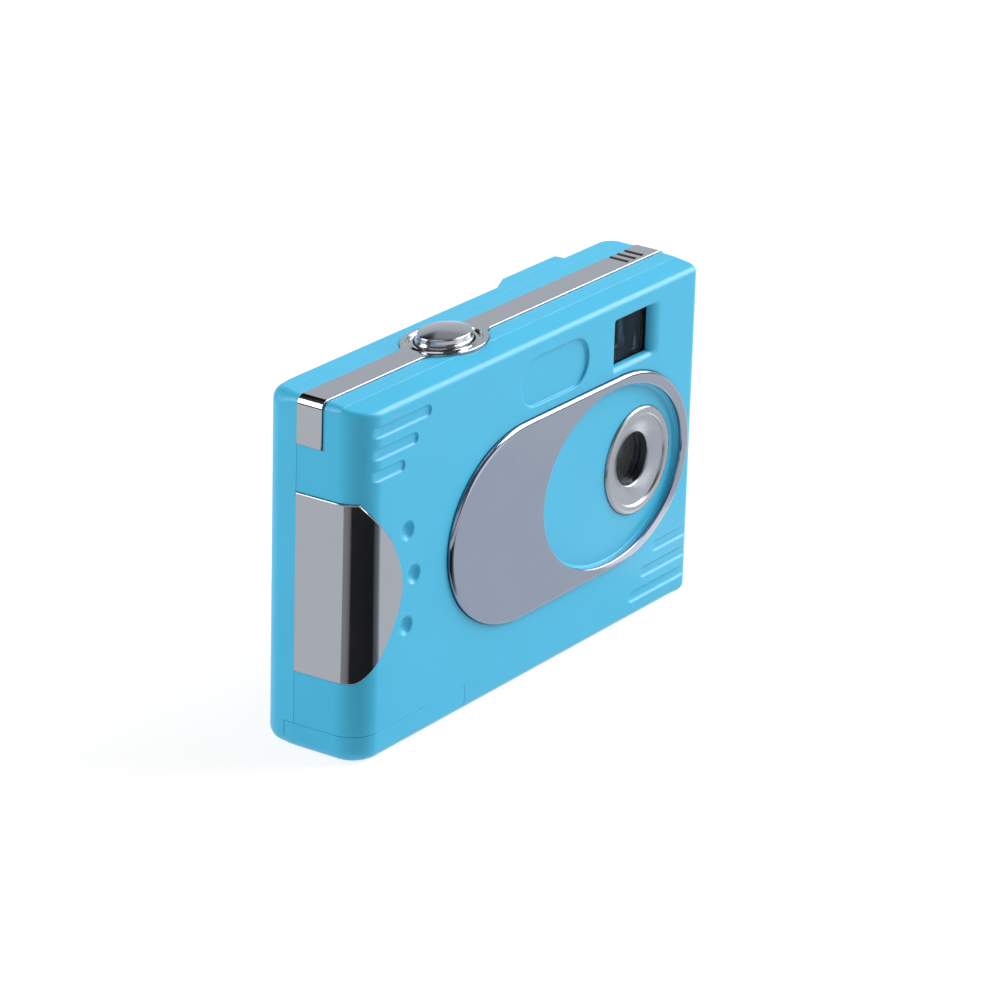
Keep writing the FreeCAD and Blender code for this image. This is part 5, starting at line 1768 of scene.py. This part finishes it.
s = Solid()
line = [tuple(p) for p in DC[DC[:, 0] > 0.12]]
poly = [(0.0, 42.95)] + line + [(0.0, 13.46)]
rad = [0.22] + [0.0] * len(line) + [0.22]
b, bn = soft_loop(poly, rad, 0.6)
cols_u = spaced(0.8, FRONT.knots[1], 1.0) + spaced(FRONT.knots[1], FRONT.knots[2], 0.3) + spaced(FRONT.knots[2] + 0.5, 17, 1.2)
g = np.array([(u, z) for u in cols_u for z in spaced(14.0, 42.4, 0.9)])
g = g[d_dist(g[:, 0], g[:, 1]) > 0.35]
slab(s, grip_chart, b, bn, 0.9, edge_prof(0.2, 5), dots=g)
s.make("grip_shell", M[node_slot.get("grip_plate", "bright_chrome")], frame_body("grip_plate"), ["grip_plate"], "bright_chrome")


# -------- oval face plate
def plate_chart(q):
    return np.column_stack([q[:, 0], np.full(len(q), -0.8), q[:, 1]]), np.tile((0.0, -1.0, 0.0), (len(q), 1))


s = Solid()
b, bn = oval(22.6, 89.3, 11.46, 44.6, 20.0, 96, 1.5)
w, wn = ellipse(67.33, 28.02, 19.67, 15.04, 180)
b, bn = oval(22.6, 89.3, 11.46, 44.6, 20.0, 96, 1.5)
bev = [(0.85 * (1 - math.sin(math.radians(a))), 0.55 * (1 - math.cos(math.radians(a)))) for a in (0, 8, 17, 27, 38, 50, 62, 74, 84, 90)]
w_out, w_in = slab(s, plate_chart, b, bn, 1.0, bev, holes=[(w, wn, edge_prof(0.26, 6))], inner=0.65)
po, no = oval(23.5, 88.4, 12.36, 43.7, 19.1, 72, 1.5)
side = np.column_stack([-no[:, 0], 0 * no[:, 0], -no[:, 1]])
low_o = s.add(np.column_stack([po[:, 0], np.full(len(po), 0.2), po[:, 1]]), side)
top_o = s.add(np.column_stack([po[:, 0], np.full(len(po), -0.15), po[:, 1]]), side)
s.loft([low_o, top_o], True)
s.flat([w_out, low_o], (0, 1, 0), (0, 2))
s.flat([top_o, w_in], (0, 1, 0), (0, 2))
s.make("face_shell", M["face_chrome"], frame_body("face_plate"), ["face_plate"], "face_chrome")


# -------- lens ring, turned about the lens axis
def turned_y(s, prof, m=128):
    t = np.linspace(0, 2 * math.pi, m, endpoint=False)
    c, d = np.cos(t), np.sin(t)
    rows = []
    for (r, y), (nr, ny) in prof:
        rows.append(s.add(np.column_stack([LENS[0] + r * c, np.full(m, y), LENS[1] + r * d]), np.column_stack([nr * c, np.full(m, ny), nr * d])))
    return rows


def smooth_prof(pts, flip=1.0):
    n = profile_normals(pts)
    return [(p, (flip * a, flip * b)) for p, (a, b) in zip(pts, n)]


s = Solid()
lip = [(8.4 + 0.8 * math.cos(math.radians(a)), 0.40 - 0.46 * math.sin(math.radians(a))) for a in list(range(0, 161, 8)) + [166, 172]]
face = lip + [(7.59, 0.375), (7.555, 0.41), (7.49, 0.43), (7.4, 0.44)]
face += [(r, 0.44 + 0.13 * (7.4 - r) + 0.06 * (7.4 - r) ** 2) for r in (7.25, 7.1, 6.8, 6.5, 6.2, 5.9, 5.6, 5.3, 5.1, 4.9)]
face += [(4.72, face[-1][1] + 0.07), (4.6, face[-1][1] + 0.15), (4.53, face[-1][1] + 0.26)]
rows = turned_y(s, smooth_prof(face, 1.0))
s.loft(rows, True)
flatrun = lambda a, b, n: s.loft(turned_y(s, [(a, n), (b, n)]), True)
flatrun((9.2, 0.40), (9.2, 0.8), (1, 0))
flatrun((9.2, 0.8), (6.0, 0.8), (0, 1))
flatrun((6.0, 0.8), (6.0, 2.6), (1, 0))
flatrun((6.0, 2.6), (4.5, 2.6), (0, 1))
s.loft(turned_y(s, smooth_prof([face[-1], (4.5, 1.45), (4.5, 2.6)], 1.0)), True)
s.make("lens_ring_shell", M["satin_metal"], frame_body("lens_ring"), ["lens_ring"], "satin_metal")


# -------- top strip: one bent band with a widened place round the button
BAND = Path([(-0.15, 50.75), (-0.15, 58.5), (92.15, 58.5), (92.15, 50.75)], [0, 1.6, 1.6, 0], -1)


def band_chart(q):
    xz, n = BAND(q[:, 0])
    return np.column_stack([xz[:, 0], q[:, 1], xz[:, 1]]), np.column_stack([n[:, 0], np.zeros(len(n)), n[:, 1]])


def band_x(u):
    return BAND(u)[0][:, 0]


RIDGES = (82.6, 84.7, 86.8)


def band_depth(q):
    x, y = band_x(q[:, 0]), q[:, 1]
    on = (q[:, 0] > BAND.knots[2]) & (q[:, 0] < BAND.knots[3])
    e = ellipse_d(x, y, 7.1, 5.4)
    d = steep(e, 0.3, 0.09, 0.06, 70) - 0.22 * ease((e - 0.35) / 0.5)
    for gx in RIDGES:
        k = np.minimum(0.5 - np.abs(x - gx), y - 8.3)
        d = np.maximum(d, steep(k, 0.2, 0.06, 0.06, 42))
    return np.where(on, d, 0.0)


s = Solid()
kb = BAND.knots
ux = lambda x: kb[2] + (np.asarray(x, float) - (-0.15 + 1.6))
fe = EDGE_F[(EDGE_F[:, 0] > 20) & (EDGE_F[:, 0] < 48)]
re = EDGE_R[(EDGE_R[:, 0] > 20) & (EDGE_R[:, 0] < 48) & (EDGE_R[:, 1] > SEAM - 0.001)]
L = BAND.length
front_line = [(0.0, CH_Y)] + [(float(ux(x)), float(y)) for x, y in fe] + [(L, CH_Y)]
rear_line = [(L, SEAM)] + [(float(ux(x)), float(y)) for x, y in re[::-1]] + [(0.0, SEAM)]
pts = front_line + rear_line
rad = [0.18] + [0.0] * len(fe) + [0.18, 0.18] + [0.0] * len(re) + [0.18]
b, bn = soft_loop(pts, rad, 0.45)
h, hn = ellipse(float(ux(BTN[0])), BTN[1], 5.7, 4.35, 128)
lines = []
for d in steep_lines(0.3, 0.09, 0.06, 70, 0.15) + [0.45, 0.55, 0.65, 0.75, 0.85]:
    p, _ = ellipse(float(ux(BTN[0])), BTN[1], 7.1 - d, 5.4 - d, 140)
    lines.append((p, True))
for gx in RIDGES:
    for d in steep_lines(0.2, 0.06, 0.06, 42, 0.1):
        a, c = float(ux(gx - 0.5 + d)), float(ux(gx + 0.5 - d))
        if c - a > 0.03:
            lines.append((np.array([(a, y) for y in spaced(11.98, 8.3 + d, 0.6)] + [(c, y) for y in spaced(8.3 + d, 11.98, 0.6)]), False))
g = np.array([(u, y) for u in spaced(0.5, kb[1], 1.2) + spaced(kb[1], kb[2], 0.18) + spaced(kb[2] + 1.5, kb[3] - 1.5, 2.0)
              + spaced(kb[3], kb[4], 0.18) + spaced(kb[4], L - 0.5, 1.2) for y in (8.4, 9.5, 10.6, 11.5)])
gx = band_x(g[:, 0])
g = g[~((np.abs(gx - BTN[0]) < 9.2) | ((gx > 81.5) & (gx < 88) & (g[:, 0] < kb[3])))]
slab(s, band_chart, b, bn, 0.98, edge_prof(0.13), lines=lines, dots=g, depth=band_depth, holes=[(h, hn, edge_prof(0.1))])
s.make("strip_shell", M["bright_chrome"], frame_body("top_strip"), ["top_strip"], "bright_chrome")


# -------- shutter button
def button():
    s = Solid()
    R = (4.95 ** 2 + 0.62 ** 2) / (2 * 0.62)
    top = 60.5
    prof = [(5.5 - x, top - R + math.sqrt(R * R - x * x)) for x in (0.0, 0.7, 1.4, 2.1, 2.8, 3.4, 3.9, 4.3, 4.6, 4.82, 4.93)]
    prof += [(0.50, 59.83), (0.45, 59.78), (0.415, 59.70), (0.395, 59.60), (0.375, 59.35), (0.35, 59.12), (0.31, 58.97), (0.24, 58.86), (0.16, 58.78), (0.08, 58.68), (0.025, 58.52), (0.0, 58.3)]
    m = 128
    t = np.linspace(0, 2 * math.pi, m, endpoint=False)
    pn = profile_normals([(-o, z) for o, z in prof])
    rows = []
    for (o, z), (a, c) in zip(prof, pn):
        f = max(5.5 - o, 0.0)
        q = np.stack([BTN[0] + f * np.cos(t), BTN[1] + f * 4.15 / 5.5 * np.sin(t)], 1)
        nr = np.stack([np.cos(t) / 5.5, np.sin(t) / 4.15], 1)
        nr /= np.linalg.norm(nr, axis=1, keepdims=True)
        if f < 1e-6:
            rows.append(np.repeat(s.add([(BTN[0], BTN[1], z)], (0, 0, 1)), m))
        else:
            rows.append(s.add(np.column_stack([q, np.full(m, z)]), np.column_stack([nr * abs(a), np.full(m, abs(c))])))
    s.loft(rows, True)

    def ring(f, g, z, n):
        q = np.stack([BTN[0] + f * np.cos(t), BTN[1] + g * np.sin(t)], 1)
        if n == "out":
            nr = np.stack([np.cos(t) / f, np.sin(t) / g, 0 * t], 1)
            return s.add(np.column_stack([q, np.full(m, z)]), nr)
        return s.add(np.column_stack([q, np.full(m, z)]), n)

    s.loft([ring(5.5, 4.15, 58.3, "out"), ring(5.5, 4.15, 57.75, "out")], True)
    dn, upn = (0, 0, -1), (0, 0, 1)
    s.loft([ring(5.5, 4.15, 57.75, dn), ring(1.2, 1.2, 57.75, dn)], True)
    s.loft([ring(1.2, 1.2, 57.75, "out"), ring(1.2, 1.2, 52.55, "out")], True)
    s.loft([ring(1.2, 1.2, 52.55, dn), ring(0.85, 0.85, 52.55, dn)], True)
    s.loft([ring(0.85, 0.85, 52.55, "out"), ring(0.85, 0.85, 52.15, "out")], True)
    s.loft([ring(0.85, 0.85, 52.15, upn), ring(1.2, 1.2, 52.15, upn)], True)
    s.loft([ring(1.2, 1.2, 52.15, "out"), ring(1.2, 1.2, 51.3, "out")], True)
    s.loft([ring(1.2, 1.2, 51.3, (0, 0, -1)), np.repeat(s.add([(BTN[0], BTN[1], 51.2)], dn), m)], True)
    return s


button().make("button_shell", M["button_chrome"], frame_body("shutter_button"), ["shutter_button"], "bright_chrome")


# -------- inside of the finder: dark gloss with fine ribs one behind the other; the light streaks in its colour are painted reflections
def ribs_with_painted_streaks(name):
    n = Nodes(name)
    c = n.node("ShaderNodeTexCoord")
    m = n.node("ShaderNodeMapping")
    m.inputs["Scale"].default_value = (0.25, 1.0, 0.1)
    n.link(c.outputs["Object"], m.inputs[0])
    lines = n.noise(m.outputs[0], 700.0, 3.0, 0.6)
    soft = n.noise(c.outputs["Object"], 260.0, 2.0, 0.5)
    # painted reflection: noise streaks turn the dark colour almost white, standing in for the reflections seen inside
    # the finder
    painted_streak_mask = n.remap(lines, 0.52, 0.66, 0.0, 1.0)
    n.set(Base_Color=n.mix(painted_streak_mask, (0.008, 0.05, 0.08), (0.80, 0.92, 1.0)))
    n.set(Roughness=n.remap(soft, 0.3, 0.7, 0.12, 0.25))
    n.set(Normal=n.bump(lines, 0.4, 0.0003))
    return n.mat


dress(frame["nodes"]["finder_tube"], ribs_with_painted_streaks("finder_ribs_painted_streaks"))
dress(frame["nodes"]["finder_front_window"], clear("finder_window", (0.58, 0.84, 0.96), ior=1.1))

# -------- spring under the shutter button: a copy of it is fixed to the camera body and stands on the cover
wire = frame["nodes"]["shutter_spring"]
coil = bpy.data.objects.new("shutter_coil", wire.data.copy())
bpy.context.scene.collection.objects.link(coil)
coil.matrix_world = wire.matrix_world
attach(coil, "camera_body")
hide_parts("shutter_spring")
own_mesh(coil)


# ------------------------------------------------------------------ stage
def plane(name, corners, material):
    me = bpy.data.meshes.new(name)
    me.from_pydata([tuple(c) for c in corners], [], [tuple(range(len(corners)))])
    me.update()
    o = bpy.data.objects.new(name, me)
    bpy.context.scene.collection.objects.link(o)
    o.data.materials.append(material)
    return o


n = Nodes("floor_paper")
at = n.coords()
n.set(Base_Color=n.mix(n.remap(n.noise(at, 3.0), 0.3, 0.7, 0.0, 1.0), (0.23, 0.23, 0.23), (0.25, 0.25, 0.25)))
n.bsdf.inputs["Roughness"].default_value = 0.9
n.bsdf.inputs["Specular IOR Level"].default_value = 0.0
n.bsdf.inputs["Emission Color"].default_value = (1.0, 1.0, 1.0, 1.0)
n.bsdf.inputs["Emission Strength"].default_value = 0.80
FLOOR = plane("floor", [(-12, -12, 0), (12, -12, 0), (12, 12, 0), (-12, 12, 0)], n.mat)

world = bpy.data.worlds.new("studio")
bpy.context.scene.world = world
world.use_nodes = True
world.node_tree.nodes["Background"].inputs[0].default_value = (1, 1, 1, 1)
world.node_tree.nodes["Background"].inputs[1].default_value = 0.15


def area(name, at, toward, size, radiance, size_y=None, colour=(1, 1, 1)):
    d = bpy.data.lights.new(name, "AREA")
    d.shape = "RECTANGLE"
    d.size = size
    d.size_y = size_y or size
    d.energy = radiance * math.pi * d.size * d.size_y
    d.color = colour
    o = bpy.data.objects.new(name, d)
    bpy.context.scene.collection.objects.link(o)
    o.location = at
    o.rotation_mode = "QUATERNION"
    o.rotation_quaternion = (Vector(toward) - Vector(at)).to_track_quat("-Z", "Y")
    return o


HERE = (0, 0, 0.03)
area("key_right", (1.95, -1.10, 1.45), HERE, 2.0, 9.1)
area("side_left", (-1.60, 1.62, 1.30), HERE, 1.6, 6.4)
area("overhead", (0.1, 0.2, 2.7), HERE, 1.4, 1.8)


# Reflector boards: they are seen only in the gloss of the object.
def glow(name, colour, strength, ramp=None):
    m = bpy.data.materials.new(name)
    m.use_nodes = True
    t = m.node_tree
    t.nodes.clear()
    out = t.nodes.new("ShaderNodeOutputMaterial")
    e = t.nodes.new("ShaderNodeEmission")
    e.inputs["Color"].default_value = (*colour, 1)
    e.inputs["Strength"].default_value = strength
    t.links.new(e.outputs[0], out.inputs[0])
    if ramp:
        c = t.nodes.new("ShaderNodeTexCoord")
        s = t.nodes.new("ShaderNodeSeparateXYZ")
        a = t.nodes.new("ShaderNodeMath")
        a.operation = "ARCTAN2"
        t.links.new(c.outputs["Object"], s.inputs[0])
        t.links.new(s.outputs[1], a.inputs[0])
        t.links.new(s.outputs[0], a.inputs[1])
        b = t.nodes.new("ShaderNodeMapRange")
        b.inputs["From Min"].default_value = -math.pi
        b.inputs["From Max"].default_value = math.pi
        t.links.new(a.outputs[0], b.inputs["Value"])
        r = t.nodes.new("ShaderNodeValToRGB")
        t.links.new(b.outputs["Result"], r.inputs[0])
        el = r.color_ramp.elements
        while len(el) > 1:
            el.remove(el[-1])
        for k, (deg, v) in enumerate(ramp):
            pos = (deg + 180) / 360
            if k == 0:
                el[0].position = pos
                x = el[0]
            else:
                x = el.new(pos)
            x.color = (v[0], v[1], v[2], 1) if isinstance(v, tuple) else (v, v, v, 1)
        t.links.new(r.outputs[0], e.inputs["Color"])
    return m


def board(name, verts, faces, material, origin=(0, 0, 0)):
    me = bpy.data.meshes.new(name)
    me.from_pydata([tuple(v) for v in verts], [], faces)
    me.update()
    o = bpy.data.objects.new(name, me)
    o.location = origin
    bpy.context.scene.collection.objects.link(o)
    o.data.materials.append(material)
    o.visible_camera = False
    o.visible_diffuse = False
    o.visible_shadow = False
    o.visible_transmission = False
    return o


def dome_board(name, az0, az1, el0, el1, radius, material):
    v, f = [], []
    for j in range(9):
        for i in range(17):
            a = math.radians(az0 + (az1 - az0) * i / 16)
            e = math.radians(el0 + (el1 - el0) * j / 8)
            v.append((radius * math.cos(e) * math.cos(a), radius * math.cos(e) * math.sin(a), radius * math.sin(e)))
    for j in range(8):
        for i in range(16):
            k = j * 17 + i
            f.append((k, k + 1, k + 18, k + 17))
    return board(name, v, f, material)


dome_board("board_back", -15, 85, 0.5, 31, 4.2, glow("board_grey", (0.92, 0.95, 1.0), 0.9))
dome_board("board_middle", -20, 40, 31, 48, 4.2, glow("board_slate", (0.95, 0.96, 1.0), 0.55))
dome_board("board_dark", 40, 105, 33, 56, 4.1, glow("board_black", (0.5, 0.5, 0.5), 0.03))
dome_board("board_dark_right", -25, 40, 48, 60, 4.1, bpy.data.materials["board_black"])
dome_board("board_front", -74, -50, 0.5, 16, 4.2, glow("board_white", (1.0, 1.0, 1.0), 2.0))
dome_board("board_left", -180, -105, 8, 30, 4.2, glow("board_soft", (0.93, 0.96, 1.0), 0.9))
lens_foot = to_row((LENS[0], 0.0, 0.0))
fan = [(r * math.cos(math.radians(a)), r * math.sin(math.radians(a)), 0.0004) for a in range(-74, -49, 4) for r in (0.22, 3.6)]
board("board_fan", fan, [(2 * i, 2 * i + 1, 2 * i + 3, 2 * i + 2) for i in range(6)], bpy.data.materials["board_white"], (lens_foot[0], lens_foot[1], 0.0))
foot = [to_row(q) for q in ((90, -24, 0.6), (122, -24, 0.6), (122, -4, 0.6), (90, -4, 0.6))]
board("board_foot", foot, [(0, 1, 2, 3)], bpy.data.materials["board_white"])
c = to_row((6.0, 6.0, 0.0))
ring, faces = [], []
for i in range(96):
    a = 2 * math.pi * i / 96
    for r in (0.015, 0.135):
        ring.append((r * math.cos(a), r * math.sin(a), 0.0003))
for i in range(96):
    j = (i + 1) % 96
    faces.append((2 * i, 2 * i + 1, 2 * j + 1, 2 * j))
board("board_floor", ring, faces,
      glow("board_sectors", (1, 1, 1), 1.1,
           [(-180, (0.98, 0.98, 1.0)), (-179.5, (0.42, 0.42, 0.45)), (-168, (0.40, 0.38, 0.38)), (-158, (0.30, 0.28, 0.27)),
            (-152, (0.03, 0.03, 0.03)), (-79, (0.02, 0.02, 0.02)), (-72, (0.13, 0.145, 0.165)), (-62, (0.21, 0.235, 0.27)), (-55, (0.36, 0.39, 0.44)),
            (-48, (0.95, 0.97, 1.0)), (180, (0.98, 0.98, 1.0))]),
      (c[0], c[1], 0.0))
